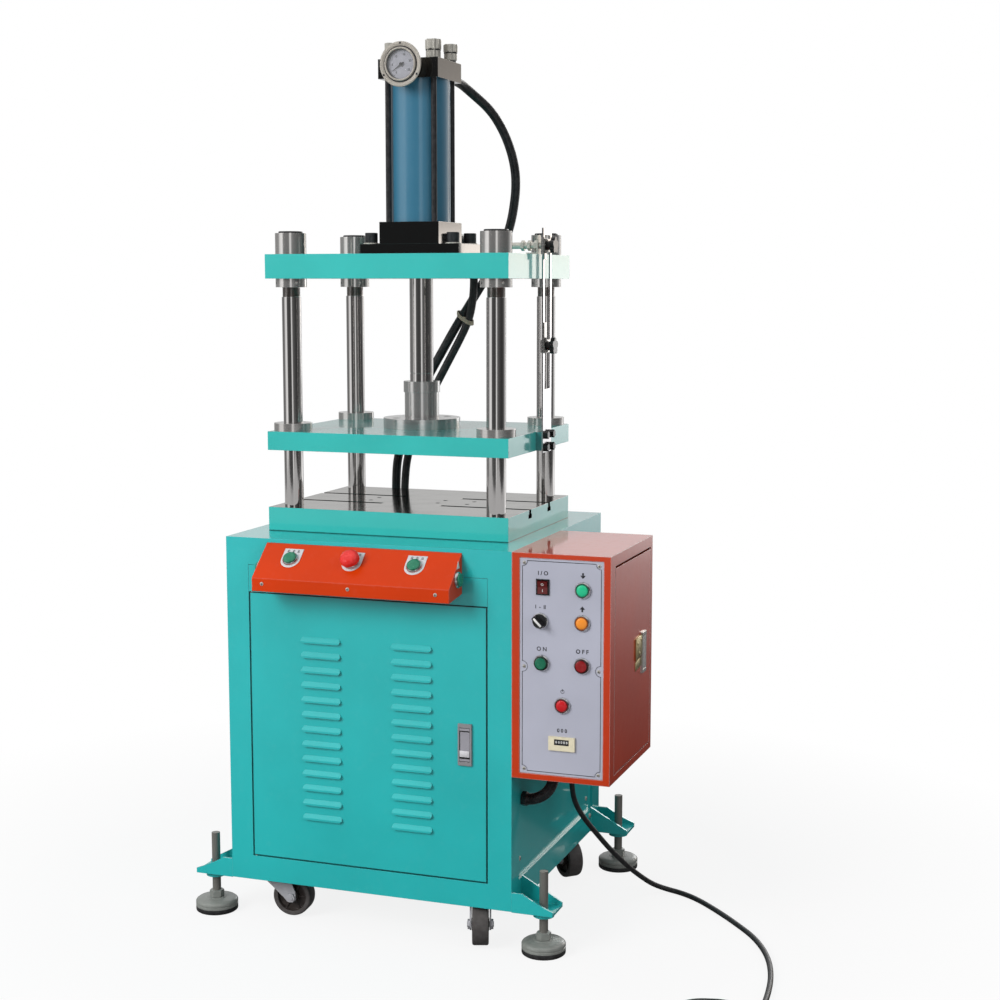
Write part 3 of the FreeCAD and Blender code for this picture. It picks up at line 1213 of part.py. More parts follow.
def make_box():
    x0, x1 = BOX_X
    y0, y1 = BOX_Y
    z0, z1 = BOX_Z
    shell = box(x0, x1, y0, y1, z0, z1)
    shell = shell.cut(box(x0 + BOX_WALL, x1 - BOX_WALL, y0 + BOX_WALL, y1 - BOX_WALL, z0 + BOX_WALL,
                          z1 - BOX_WALL))
    half_x = FACE_WIDE / 2 + FACE_PLAY
    half_z = FACE_TALL / 2 + FACE_PLAY
    shell = shell.cut(box(FACE_X - half_x, FACE_X + half_x, y0 - THROUGH, y0 + BOX_WALL, FACE_Z - half_z,
                          FACE_Z + half_z))
    lip = box(FACE_X - half_x - 4, FACE_X + half_x + 4, y0 + BOX_WALL, y0 + BOX_WALL + 2,
              FACE_Z - half_z - 4, FACE_Z + half_z + 4)
    lip = lip.cut(box(FACE_X - half_x + FACE_LIP, FACE_X + half_x - FACE_LIP, y0, y0 + 10,
                      FACE_Z - half_z + FACE_LIP, FACE_Z + half_z - FACE_LIP))
    d0, d1 = SIDE_DOOR_Y
    e0, e1 = SIDE_DOOR_Z
    shell = shell.cut(box(x1 - BOX_WALL - THROUGH, x1 + THROUGH, d0, d1, e0, e1))
    hinge_x, hinge_y = side_hinge()
    blocks = [box(x1 - 14, x1 - 1, d0 - 4, d0 + 14, z, z + 8) for z in (e0 - 8, e1)]
    shell = joined([shell, lip] + blocks)
    tools = [upright(PIN_R + SEAT, hinge_x, hinge_y, e0 - SIDE_PIN_IN, e0 + THROUGH),
             upright(PIN_R + SEAT, hinge_x, hinge_y, e1 - THROUGH, e1 + SIDE_PIN_IN)]
    for radius, x, y in ((BOX_GLAND_R, CONDUIT_X, CONDUIT_Y), (CORD_GLAND_R, CORD_X, CORD_Y)):
        tools.append(upright(radius + SEAT, x, y, z0 - THROUGH, z0 + BOX_WALL + THROUGH))
    for dx, dz in FACE_SCREWS:
        tools.append(rod(SMALL_SCREW_R + SEAT, V(FACE_X + dx, y0, FACE_Z + dz), BACK, 10))
    return drilled(shell, tools)


def make_face():
    y = BOX_Y[0] + FACE_SUNK
    plate = box(FACE_X - FACE_WIDE / 2, FACE_X + FACE_WIDE / 2, y, y + FACE_THICK, FACE_Z - FACE_TALL / 2,
                FACE_Z + FACE_TALL / 2)
    tools = []
    for x, z in LAMPS_AT + (SELECTOR_AT, START_AT, STOP_AT):
        tools.append(rod(PANEL_HOLE_R, V(x, y - 1, z), BACK, 5))
    x, z = ROCKER_AT
    half_x, half_z = ROCKER_HALF
    tools.append(box(x - half_x, x + half_x, y - 1, y + 4, z - half_z, z + half_z))
    x, z = COUNTER_AT
    half_x, half_z = COUNTER_HALF
    tools.append(box(x - half_x, x + half_x, y - 1, y + 4, z - half_z, z + half_z))
    for dx, dz in FACE_SCREWS:
        tools.append(rod(SMALL_SCREW_R + SEAT, V(FACE_X + dx, y - 1, FACE_Z + dz), BACK, 5))
    return drilled(plate, tools)


def make_box_door():
    x1 = BOX_X[1]
    y0 = SIDE_DOOR_Y[0] + SIDE_DOOR_GAP
    y1 = SIDE_DOOR_Y[1] - SIDE_DOOR_GAP
    z0 = SIDE_DOOR_Z[0] + SIDE_DOOR_GAP
    z1 = SIDE_DOOR_Z[1] - SIDE_DOOR_TOP_GAP
    pan = box(x1 - SIDE_DOOR_DEEP, x1, y0, y1, z0, z1)
    pan = pan.cut(box(x1 - SIDE_DOOR_DEEP - THROUGH, x1 - SKIN, y0 + SKIN, y1 - SKIN, z0 + SKIN, z1 - SKIN))
    blocks = []
    for z in (z0 + 1, z1 - 1 - BLOCK):
        blocks.append(box(x1 - 1 - 10, x1 - 1, y0 + 1, y0 + 1 + BLOCK, z, z + BLOCK))
    pan = joined([pan] + blocks)
    pan = pan.cut(box(x1 - SKIN - 1, x1 + THROUGH, BOX_LATCH_Y - CASE_WIDE / 2, BOX_LATCH_Y + CASE_WIDE / 2,
                      BOX_LATCH_Z - CASE_TALL / 2, BOX_LATCH_Z + CASE_TALL / 2))
    hinge_x, hinge_y = side_hinge()
    for z in (z0 - THROUGH, z1 - PIN_UP - 1):
        pan = pan.cut(upright(PIN_R + PIN_PLAY, hinge_x, hinge_y, z, z + PIN_UP + 1 + THROUGH))
    return group([pan, moved(latch_body(CASE_DEEP), box_place())])


# Conduit, hoses and power cord


def conduit_point(along):
    """Centre and direction of the conduit at a length from the gland under the box."""
    start_z = CONDUIT_END_Z + CONDUIT_BEND
    quarter = CONDUIT_BEND * math.pi / 2
    if along <= 0:
        return V(CONDUIT_X, CONDUIT_Y, start_z - along), DOWN
    if along >= quarter:
        past = along - quarter
        return V(CONDUIT_X - CONDUIT_BEND - past, CONDUIT_Y, CONDUIT_END_Z), LEFT
    angle = along / CONDUIT_BEND
    x = CONDUIT_X - CONDUIT_BEND + CONDUIT_BEND * math.cos(angle)
    z = start_z - CONDUIT_BEND * math.sin(angle)
    return V(x, CONDUIT_Y, z), V(-math.sin(angle), 0, -math.cos(angle))


def ring_at(along, radius):
    centre, direction = conduit_point(along)
    spin = FreeCAD.Rotation(BACK, direction.cross(BACK), direction, "ZXY")
    ring = Part.makeCircle(radius)
    ring.Placement = FreeCAD.Placement(centre, spin)
    return Part.Wire(ring)


def make_conduit():
    length = CONDUIT_BEND * math.pi / 2
    pitch = length / CONDUIT_RIBS
    rings = []
    for rib in range(CONDUIT_RIBS):
        start = rib * pitch
        for share, radius in RIB_SHAPE:
            rings.append(ring_at(start + share * pitch, radius))
    rings.append(ring_at(length, CONDUIT_ROOT_R))
    hose = Part.makeLoft(rings, True, True)
    first, _ = conduit_point(-5)
    corner, _ = conduit_point(0)
    turn, _ = conduit_point(length / 2)
    end, _ = conduit_point(length)
    last, _ = conduit_point(length + 5)
    path = Part.Wire([Part.LineSegment(first, corner).toShape(), Part.Arc(corner, turn, end).toShape(),
                      Part.LineSegment(end, last).toShape()])
    hose = hose.cut(swept(path, CONDUIT_BORE_R, first, DOWN))
    print("conduit valid", hose.isValid(), "volume", round(hose.Volume))
    low = BOX_Z[0]
    gland_low = CONDUIT_END_Z + CONDUIT_BEND
    upper = joined([upright(BOX_GLAND_R, CONDUIT_X, CONDUIT_Y, gland_low, low + BOX_WALL + 6),
                    hex_bar(24, V(CONDUIT_X, CONDUIT_Y, gland_low), UP, low - gland_low)])
    upper = upper.cut(upright(CONDUIT_BORE_R, CONDUIT_X, CONDUIT_Y, gland_low - 1, low + 12))
    face_x = CAB_X - CAB_WALL
    end_x = CONDUIT_X - CONDUIT_BEND
    side = joined([rod(SIDE_GLAND_R, V(face_x - PANEL - 6, CONDUIT_Y, CONDUIT_END_Z), RIGHT,
                       end_x - face_x + PANEL + 6),
                   hex_bar(24, V(face_x, CONDUIT_Y, CONDUIT_END_Z), RIGHT, end_x - face_x)])
    side = side.cut(rod(CONDUIT_BORE_R, V(face_x - 20, CONDUIT_Y, CONDUIT_END_Z), RIGHT, 40))
    cord = joined([upright(CORD_GLAND_R, CORD_X, CORD_Y, low - 4, low + BOX_WALL + 6),
                   hex_bar(20, V(CORD_X, CORD_Y, low - 10), UP, 10),
                   turned([(0, low - GLAND_LONG), (6.5, low - GLAND_LONG), (8.5, low - GLAND_LONG + 8),
                           (8.5, low - 9), (0, low - 9)], V(CORD_X, CORD_Y, 0), UP)])
    return group([hose, upper, side, cord])


def biarc(p0, t0, p1, t1):
    """Two arcs that leave p0 along t0, reach p1 along t1 and touch where they meet."""
    chord = p1.sub(p0)
    both = t0.add(t1)
    a = 2 * (t0.dot(t1) - 1)
    b = -2 * chord.dot(both)
    c = chord.dot(chord)
    reach = -c / b if abs(a) < 1e-9 else (-b - math.sqrt(b * b - 4 * a * c)) / (2 * a)
    corner0 = p0 + t0 * reach
    corner1 = p1 - t1 * reach
    meet = (corner0 + corner1) * 0.5
    return [arc_to(p0, corner0, meet), arc_to(meet, corner1, p1)]


def arc_to(start, corner, end):
    middle = (start + end) * 0.5
    rise = corner.sub(middle)
    half = end.sub(start).Length / 2
    angle = math.atan2(rise.Length, half)
    return Part.Arc(start, middle + V(rise).normalize() * (half * math.tan(angle / 2)), end).toShape()


def coil_path():
    """Quarter-turn stations of the coil: angle in turns, radius and height, clockwise seen from above."""
    stations = [(step / 4, COIL_OUTER_R, COIL_LOW) for step in range(4)]
    stations.append((1.0, COIL_INNER_R, COIL_LOW))
    height = COIL_LOW
    for step in range(5, 16):
        height += COIL_RISE / 4
        stations.append((step / 4, COIL_INNER_R, height))
    height += COIL_RISE / 4
    drop = (height - COIL_END) / 5
    for step in range(16, 22):
        stations.append((step / 4, COIL_OUTER_R, height))
        height -= drop
    return stations


def coil_point(turn, radius, height):
    angle = -2 * math.pi * turn
    return V(COIL_CENTRE[0] + radius * math.cos(angle), COIL_CENTRE[1] + radius * math.sin(angle), height)


def coil_wire():
    stations = coil_path()
    points = [coil_point(*station) for station in stations]
    tangents = []
    for index, (turn, _, _) in enumerate(stations):
        angle = -2 * math.pi * turn
        flat = V(math.sin(angle), -math.cos(angle), 0)
        before = points[max(index - 1, 0)]
        after = points[min(index + 1, len(points) - 1)]
        arc = math.pi * (COIL_OUTER_R + COIL_INNER_R) / 4 * (2 if 0 < index < len(points) - 1 else 1)
        slope = (after.z - before.z) / arc
        radial = (stations[min(index + 1, len(points) - 1)][1] - stations[max(index - 1, 0)][1]) / arc
        out = V(math.cos(angle), math.sin(angle), 0)
        if index == len(points) - 1:
            slope = 0.0
        tangents.append((flat + out * (radial * 0.5) + UP * slope).normalize())
    edges = []
    lead = points[0] - tangents[0] * (2 * CORD_R)
    edges.append(Part.LineSegment(lead, points[0]).toShape())
    for p0, t0, p1, t1 in zip(points, tangents, points[1:], tangents[1:]):
        edges.extend(biarc(p0, t0, p1, t1))
    tail = points[-1] + tangents[-1] * COIL_TAIL
    edges.append(Part.LineSegment(points[-1], tail).toShape())
    return Part.Wire(edges), lead, tangents[0], tail, tangents[-1]


def least_gap(wire):
    samples = wire.discretize(Number=900)
    step = wire.Length / 899
    near = None
    skip = int(6 * CORD_R / step)
    for i in range(0, len(samples), 2):
        for j in range(i + skip, len(samples), 2):
            gap = samples[i].distanceToPoint(samples[j])
            if near is None or gap < near:
                near = gap
    return near - 2 * CORD_R


def make_coil():
    wire, lead, direction, tail, out = coil_wire()
    solid = swept(wire, CORD_R, lead, direction)
    ideal = math.pi * CORD_R ** 2 * wire.Length
    print("coil length", round(wire.Length), "least gap", round(least_gap(wire), 2), "volume ratio",
          round(solid.Volume / ideal, 4), "valid", solid.isValid())
    print("coil starts", lead, "ends", tail, "heading", out)
    return solid, tail, out


def make_plug(start, direction):
    flat = V(direction.x, direction.y, 0).normalize()
    body = turned([(0, 0), (7, 0), (9, 22), (19, 30), (PLUG_R, 44), (PLUG_R, 96), (PLUG_R - 3, PLUG_LONG),
                   (0, PLUG_LONG)], V(0, 0, 0), UP)
    pins = []
    for step in range(4):
        angle = math.radians(45 + 90 * step)
        at = V(13 * math.cos(angle), 13 * math.sin(angle), PLUG_LONG - 1)
        pins.append(rod(3.0, at, UP, 18))
    return aimed(joined([body] + pins), start, flat)


# Power unit


def make_power_unit():
    x0, x1 = TANK_X
    y0, y1 = TANK_Y
    top = TRAY_TOP + TANK_HIGH
    tank = box(x0, x1, y0, y1, TRAY_TOP, top)
    tank = tank.cut(box(x0 + TANK_WALL, x1 - TANK_WALL, y0 + TANK_WALL, y1 - TANK_WALL, TRAY_TOP + TANK_WALL,
                        top + THROUGH))
    deck = top + LID_OVER
    lid = box(x0 - LID_OVER, x1 + LID_OVER, y0 - LID_OVER, y1 + LID_OVER, top, deck)
    axis = deck + MOTOR_UP
    m0, m1 = MOTOR_X
    inside = MOTOR_R * 0.85
    feet = [box(m0 + 20, m1 - 20, MOTOR_Y + side * inside - 15, MOTOR_Y + side * inside + 15, deck,
                axis - MOTOR_R * 0.4) for side in SIDES]
    motor = joined([rod(MOTOR_R, V(m0, MOTOR_Y, axis), RIGHT, m1 - m0)] + feet)
    bell = rod(BELL_R, V(m1, MOTOR_Y, axis), RIGHT, BELL_LONG)
    pump = rod(PUMP_R, V(m1 + BELL_LONG, MOTOR_Y, axis), RIGHT, PUMP_LONG)
    valves = box(VALVE_X[0], VALVE_X[1], VALVE_Y[0], VALVE_Y[1], deck, deck + VALVE_HIGH)
    filler = upright(FILLER_R, FILLER_AT[0], FILLER_AT[1], deck, deck + FILLER_HIGH)
    return group([tank, lid, motor, bell, pump, valves, filler])


def main():
    SHAPES["cabinet_frame"] = make_cabinet()
    SHAPES["cabinet_panels"] = make_panels()
    SHAPES["foot_brackets"] = make_ears()
    SHAPES["small_screws"] = make_screws()
    SHAPES["front_door"] = make_front_door()
    SHAPES["door_paddle"] = moved(latch_paddle(), door_place())
    for name, sx, sy in (("front_left", -1, -1), ("front_right", 1, -1), ("rear_left", -1, 1),
                         ("rear_right", 1, 1)):
        SHAPES["foot_" + name] = make_foot(sx, sy)
    SHAPES["caster_plates"] = make_caster_plates()
    for name, place in CASTERS.items():
        SHAPES["fork_" + name] = make_fork(*place)
        SHAPES["wheel_" + name] = make_wheel(*place)
    SHAPES["press_table"] = make_table()
    SHAPES["guide_columns"] = make_columns()
    SHAPES["column_nuts"] = make_column_nuts()
    SHAPES["top_plate"] = make_head_plate()
    SHAPES["moving_plate"] = make_moving_plate()
    SHAPES["guide_bushes"] = make_bushes()
    SHAPES["ram_rod"] = make_ram()
    SHAPES["ram_coupling"] = make_coupling()
    SHAPES["cylinder_blocks"] = make_cylinder_blocks()
    SHAPES["cylinder_tube"] = sleeve(TUBE_R, BORE_R, 0, 0, LOWER_BLOCK_TOP, UPPER_BLOCK_LOW)
    SHAPES["cylinder_bolts"] = make_cylinder_bolts()
    SHAPES["pressure_gauge"] = make_gauge()
    SHAPES["gauge_needle"] = make_needle()
    SHAPES["port_fittings"] = make_fittings()
    SHAPES["hose_upper"] = tube_along("hose_upper", HOSE_UPPER_ROUTE, HOSE_UPPER_R)
    SHAPES["hose_lower"] = tube_along("hose_lower", HOSE_LOWER_ROUTE, HOSE_LOWER_R)
    SHAPES["limit_bar"] = make_bar()
    SHAPES["upper_dog"] = make_dog(UPPER_DOG_Z, -26.0)
    SHAPES["lower_dog"] = make_dog(LOWER_DOG_Z, 44.0)
    SHAPES["limit_sensor"] = make_sensor()
    SHAPES["console_housing"] = make_console()
    SHAPES["button_trims"] = make_trims()
    SHAPES["console_button_left"] = moved(button_cap(), raised(slope_place(CON_BUTTON_X[0])))
    SHAPES["console_stop"] = moved(stop_cap(), raised(slope_place(CON_BUTTON_X[1])))
    SHAPES["console_button_right"] = moved(button_cap(), raised(slope_place(CON_BUTTON_X[2])))
    SHAPES["console_end_left"] = moved(button_cap(), end_place(-1))
    SHAPES["console_end_right"] = moved(button_cap(), end_place(1))
    SHAPES["box_housing"] = make_box()
    SHAPES["box_panel"] = make_face()
    SHAPES["box_door"] = make_box_door()
    SHAPES["box_paddle"] = moved(latch_paddle(), box_place())
    SHAPES["box_start_button"] = moved(button_cap(), face_place(START_AT))
    SHAPES["box_stop_button"] = moved(button_cap(), face_place(STOP_AT))
    SHAPES["mode_selector"] = moved(selector_knob(), face_place(SELECTOR_AT))
    SHAPES["power_rocker"] = moved(rocker_cap(), face_place(ROCKER_AT))
    SHAPES["lamp_lenses"] = group([moved(lamp_lens(), face_place(at)) for at in LAMPS_AT])
    SHAPES["wiring_conduit"] = make_conduit()
    SHAPES["power_cord"] = tube_along("power_cord", CORD_ROUTE, CORD_R)
    coil, tail, out = make_coil()
    SHAPES["cord_coil"] = coil
    SHAPES["cord_plug"] = make_plug(tail, out)
    SHAPES["power_unit"] = make_power_unit()
    os.makedirs("parts", exist_ok=True)
    for name, shape in SHAPES.items():
        shape.exportStep("parts/" + name + ".step")
        if not shape.isValid():
            print("not valid:", name)
    print(len(SHAPES), "files written")


main()
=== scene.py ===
from math import atan2, cos, pi, radians, sin

import bmesh
import bpy
from mathutils import Matrix, Vector


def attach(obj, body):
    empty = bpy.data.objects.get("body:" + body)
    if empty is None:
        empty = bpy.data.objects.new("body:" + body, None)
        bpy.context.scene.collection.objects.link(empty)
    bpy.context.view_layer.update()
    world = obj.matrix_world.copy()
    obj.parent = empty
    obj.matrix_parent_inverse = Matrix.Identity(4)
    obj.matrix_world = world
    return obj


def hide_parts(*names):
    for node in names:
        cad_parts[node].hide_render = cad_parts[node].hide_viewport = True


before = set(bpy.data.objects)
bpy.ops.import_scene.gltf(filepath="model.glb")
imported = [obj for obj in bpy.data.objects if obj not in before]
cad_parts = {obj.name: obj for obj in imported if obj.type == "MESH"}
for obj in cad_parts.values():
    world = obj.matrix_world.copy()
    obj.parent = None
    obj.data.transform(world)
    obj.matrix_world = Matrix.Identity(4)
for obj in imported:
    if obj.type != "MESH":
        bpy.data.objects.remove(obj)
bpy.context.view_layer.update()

# Lengths of the press are millimetres; MM turns them into the scene's metres.
MM = 0.001
RIGHT, LEFT, UP = (1, 0, 0), (-1, 0, 0), (0, 0, 1)
SIDES = (-1, 1)
EDGE_ANGLE = radians(32)


# Shapes


def face_frame(at, across, up):
    """Place on a face: X across it, Y up it and Z out of it."""
    x = Vector(across).normalized()
    y = Vector(up).normalized()
    place = Matrix((x, y, x.cross(y))).transposed().to_4x4()
    place.translation = Vector(at)
    return place


def along(at, axis):
    place = Vector(axis).to_track_quat("Z", "Y").to_matrix().to_4x4()
    place.translation = Vector(at)
    return place


def four(x, y, z=0.0):
    """Places at the corners of a rectangle about the middle of the press."""
    return [moved(sx * x, sy * y, z) for sx in SIDES for sy in SIDES]


def polar(radius, angle):
    return radius * cos(angle), radius * sin(angle)


def moved(x, y, z):
    return Matrix.Translation((x, y, z))


def meshed(curve):
    """Mesh of a curve, which is then dropped."""
    holder = bpy.data.objects.new("curve", curve)
    mesh = bpy.data.meshes.new_from_object(holder)
    bpy.data.objects.remove(holder)
    bpy.data.curves.remove(curve)
    return mesh


def placed(name, data):
    """New object in the scene."""
    made = bpy.data.objects.new(name, data)
    bpy.context.scene.collection.objects.link(made)
    return made


class Shape:
    """Turned, extruded and swept parts that become one piece."""

    def __init__(self):
        self.mesh = bmesh.new()
        self.finish = 0

    def add(self, points, faces, place=Matrix(), ease=0.0):
        corners = [self.mesh.verts.new(place @ Vector(point)) for point in points]
        made = []
        for face in faces:
            face = [corners[index] for index in face]
            if len(set(face)) > 2:
                made.append(self.mesh.faces.new(list(dict.fromkeys(face))))
                made[-1].material_index = self.finish
        if ease:
            for face in made:
                face.normal_update()
            edges = {edge for face in made for edge in face.edges}
            sharp = [edge for edge in edges if edge.is_manifold and edge.calc_face_angle(0.0) > EDGE_ANGLE]
            bmesh.ops.bevel(self.mesh, geom=sharp, offset=ease, segments=2, profile=0.5, affect="EDGES",
                            clamp_overlap=True, material=-1)

    def spun(self, rows, place, steps=48, ease=0.0, ring=False):
        """Rows of (radius, height), or of functions of the angle that give them, turned about Z."""
        points = []
        starts = []
        for row in rows:
            if not callable(row) and row[0] == 0:
                starts.append((len(points), 1))
                points.append((0, 0, row[1]))
                continue
            starts.append((len(points), steps))
            for step in range(steps):
                angle = 2 * pi * step / steps
                radius, height = row(angle) if callable(row) else row
                points.append((*polar(radius, angle), height))
        faces = []
        pairs = list(zip(starts, starts[1:]))
        if ring:
            pairs.append((starts[-1], starts[0]))
        for (low, low_count), (high, high_count) in pairs:
            for step in range(steps if low_count + high_count > 2 else 0):
                after = step + 1
                faces.append([low + step % low_count, low + after % low_count,
                              high + after % high_count, high + step % high_count])
        self.add(points, faces, place, ease)

    def bar(self, outline, low, high, place, ease=0.0):
        """Outline of (x, y) extruded from low to high."""
        count = len(outline)
        points = [(x, y, low) for x, y in outline] + [(x, y, high) for x, y in outline]
        faces = [list(range(count))[::-1], list(range(count, 2 * count))]
        for step in range(count):
            after = (step + 1) % count
            faces.append([step, after, count + after, count + step])
        self.add(points, faces, place, ease)

    def block(self, x0, x1, y0, y1, z0, z1, place=Matrix(), ease=0.0):
        self.bar([(x0, y0), (x1, y0), (x1, y1), (x0, y1)], z0, z1, place, ease)

    def nut(self, across, low, high, place):
        """Hexagon with its corners turned off at both ends."""
        flat = across / 2
        circle = flat * 0.97

        def corner(angle):
            return flat / cos((angle + pi / 6) % (pi / 3) - pi / 6)

        def drop(angle):
            return (corner(angle) - circle) * 0.55

        rows = [(0, low), (circle, low), lambda a: (corner(a), low + drop(a)),
                lambda a: (corner(a), high - drop(a)), (circle, high), (0, high)]
        self.spun(rows, place)

    def thread(self, radius, pitch, low, high, place, steps=32):
        depth = pitch * 0.55
        rows = [(0, low)]
        count = int((high - low) / pitch * 6)
        for row in range(count + 1):
            height = low + (high - low) * row / count

            def cut(angle, height=height):
                share = (height / pitch - angle / (2 * pi)) % 1
                return radius - depth * abs(2 * share - 1), height

            rows.append(cut)
        rows.append((0, high))
        self.spun(rows, place, steps)

    def swept(self, points, radius, sides):
        """Tube along points, its radius a number or one for each point."""
        points = [Vector(point) for point in points]
        radii = radius if isinstance(radius, (list, tuple)) else [radius] * len(points)
        side = (points[1] - points[0]).orthogonal().normalized()
        rings = []
        for index, point in enumerate(points):
            ahead = points[min(index + 1, len(points) - 1)] - points[max(index - 1, 0)]
            ahead.normalize()
            side = (side - ahead * side.dot(ahead)).normalized()
            other = ahead.cross(side)
            for step in range(sides):
                angle = 2 * pi * step / sides
                rings.append(point + (side * cos(angle) + other * sin(angle)) * radii[index])
        faces = [list(range(sides))[::-1], list(range(len(rings) - sides, len(rings)))]
        for index in range(len(points) - 1):
            low = index * sides
            for step in range(sides):
                after = (step + 1) % sides
                faces.append([low + step, low + after, low + sides + after, low + sides + step])
        self.add(rings, faces)

    def letters(self, text, size, thick, place):
        curve = bpy.data.curves.new("letters", "FONT")
        curve.body = text
        curve.size = size
        curve.extrude = thick / 2
        curve.offset = size * 0.03
        curve.align_x = "CENTER"
        curve.align_y = "CENTER"
        mesh = meshed(curve)
        mesh.transform(place)
        for polygon in mesh.polygons:
            polygon.material_index = self.finish
        self.mesh.from_mesh(mesh)
        bpy.data.meshes.remove(mesh)

    def screw(self, place, radius, high, cross=True):
        """Round-headed screw, its seat at the place's origin; its cross recess is a flat dark cross of
        painted shade.
        """
        arc = [(radius * cos(radians(a)), high * (0.25 + 0.75 * sin(radians(a))))
               for a in (0, 25, 50, 72)]
        self.spun([(radius, -0.3)] + arc + [(radius * 0.12, high), (0, high)], place, 28)
        if cross:
            arm, half = radius * 0.62, radius * 0.13
            # Painted shade: the recess is a dark cross laid on the head.
            self.finish = 1
            for x, y in ((arm, half), (half, arm)):
                self.block(-x, x, -y, y, high - 0.25, high + 0.06, place)
            self.finish = 0

    def piece(self, name, finishes, body, slot):
        bmesh.ops.recalc_face_normals(self.mesh, faces=self.mesh.faces)
        data = bpy.data.meshes.new(name)
        self.mesh.to_mesh(data)
        self.mesh.free()
        data.transform(Matrix.Scale(MM, 4))
        data.shade_smooth()
        data.set_sharp_from_angle(angle=EDGE_ANGLE)
        for finish in finishes:
            data.materials.append(finish.material)
        made = placed(name, data)
        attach(made, body)
        return made


# Finishes


def operator(operation, swapped=False):
    def work(wire, other):
        return wire.finish.maths(operation, *((other, wire) if swapped else (wire, other)))

    return work


class Wire:
    """A socket whose arithmetic adds Math nodes."""

    __add__, __radd__ = operator("ADD"), operator("ADD", swapped=True)
    __sub__, __rsub__ = operator("SUBTRACT"), operator("SUBTRACT", swapped=True)
    __mul__, __rmul__ = operator("MULTIPLY"), operator("MULTIPLY", swapped=True)
    __pow__ = operator("POWER")
    __gt__ = operator("GREATER_THAN")
    __lt__ = operator("LESS_THAN")

    def __init__(self, finish, socket):
        self.finish = finish
        self.socket = socket

    def __abs__(self):
        return self.finish.maths("ABSOLUTE", self)

    def clear_of(self, low, high):
        """0 below low and 1 above high."""
        return self.finish.node("MapRange", {"Value": self, "From Min": low, "From Max": high}, clamp=True)

    def within(self, low, high, soft):
        """1 between low and high, with soft edges."""
        return self.clear_of(low - soft, low + soft) * (1 - self.clear_of(high - soft, high + soft))

    def near(self, centre, reach):
        """1 within reach of centre."""
        return abs(self - centre) < reach


class Finish:
    """A material and the nodes that vary it."""

    def __init__(self, name, owner=None):
        self.material = owner or bpy.data.materials.new(name)
        self.material.use_nodes = True
        self.tree = self.material.node_tree
        self.shader = self.tree.nodes.get("Principled BSDF")
        self.coordinates = None

    def node(self, kind, sockets, output=0, **settings):
        made = self.tree.nodes.new("ShaderNode" + kind)
        for key, value in settings.items():
            setattr(made, key, value)
        for key, value in sockets.items():
            if isinstance(value, Wire):
                self.tree.links.new(value.socket, made.inputs[key])
            else:
                made.inputs[key].default_value = value
        return Wire(self, made.outputs[output])

    def maths(self, operation, *values):
        return self.node("Math", dict(enumerate(values)), operation=operation)

    def set(self, **sockets):
        for key, value in sockets.items():
            key = key.replace("_", " ")
            if isinstance(value, Wire):
                self.tree.links.new(value.socket, self.shader.inputs[key])
            elif isinstance(value, tuple):
                self.shader.inputs[key].default_value = (*value, 1)
            else:
                self.shader.inputs[key].default_value = value
        return self

    def spot(self):
        """Rest coordinates in millimetres."""
        if self.coordinates is None:
            place = self.node("TexCoord", {}, 3)
            self.coordinates = self.node("VectorMath", {0: place, "Scale": 1 / MM}, operation="SCALE")
        return self.coordinates

    def split(self, vector):
        return [self.node("SeparateXYZ", {0: vector}, index) for index in range(3)]

    def axes(self):
        return self.split(self.spot())

    def either(self, first, *others):
        """1 where any of the masks is 1."""
        for other in others:
            first = self.maths("MAXIMUM", first, other)
        return first

    def noise(self, size, detail, stretch=None):
        """Noise with cells about size millimetres wide, longer along an axis where stretch is small."""
        spot = self.spot()
        if stretch:
            spot = self.node("VectorMath", {0: spot, 1: stretch}, operation="MULTIPLY")
        return self.node("TexNoise", {"Vector": spot, "Scale": 1 / size, "Detail": detail})

    def profile(self, value, *stops):
        """Level of a number, from stops of (number, level)."""
        low, high = stops[0][0], stops[-1][0]
        top = max(level for at, level in stops)
        made = self.node("ValToRGB", {0: value.clear_of(low, high)})
        elements = made.socket.node.color_ramp.elements
        elements.remove(elements[1])
        elements[0].color = grey(stops[0][1] / top)
        for at, level in stops[1:]:
            elements.new((at - low) / (high - low)).color = grey(level / top)
        return made * top

    def mix(self, first, second, share):
        first, second = [(*c, 1) if isinstance(c, tuple) else c for c in (first, second)]
        return self.node("Mix", {0: share, 6: first, 7: second}, 2, data_type="RGBA")

    def bump(self, height, deep, normal):
        """Bump of a height from 0 to 1 that is deep millimetres tall."""
        return self.node("Bump", {"Height": height, "Distance": deep * MM, "Normal": normal})

    def eased(self, radius):
        """Normal of edges rounded to a radius in millimetres."""
        return self.node("Bevel", {"Radius": radius * MM}, samples=4)

    def edge(self, eased):
        """1 on an edge and 0 on the flat."""
        true = self.node("NewGeometry", {}, 1)
        match = self.node("VectorMath", {0: eased, 1: true}, 1, operation="DOT_PRODUCT")
        return (1 - match).clear_of(0.01, 0.12)


def grey(level):
    return (level, level, level, 1)


def shade(colour, factor):
    return tuple(channel * factor for channel in colour)


def lighter(colour, share):
    return tuple(channel + (1 - channel) * share for channel in colour)


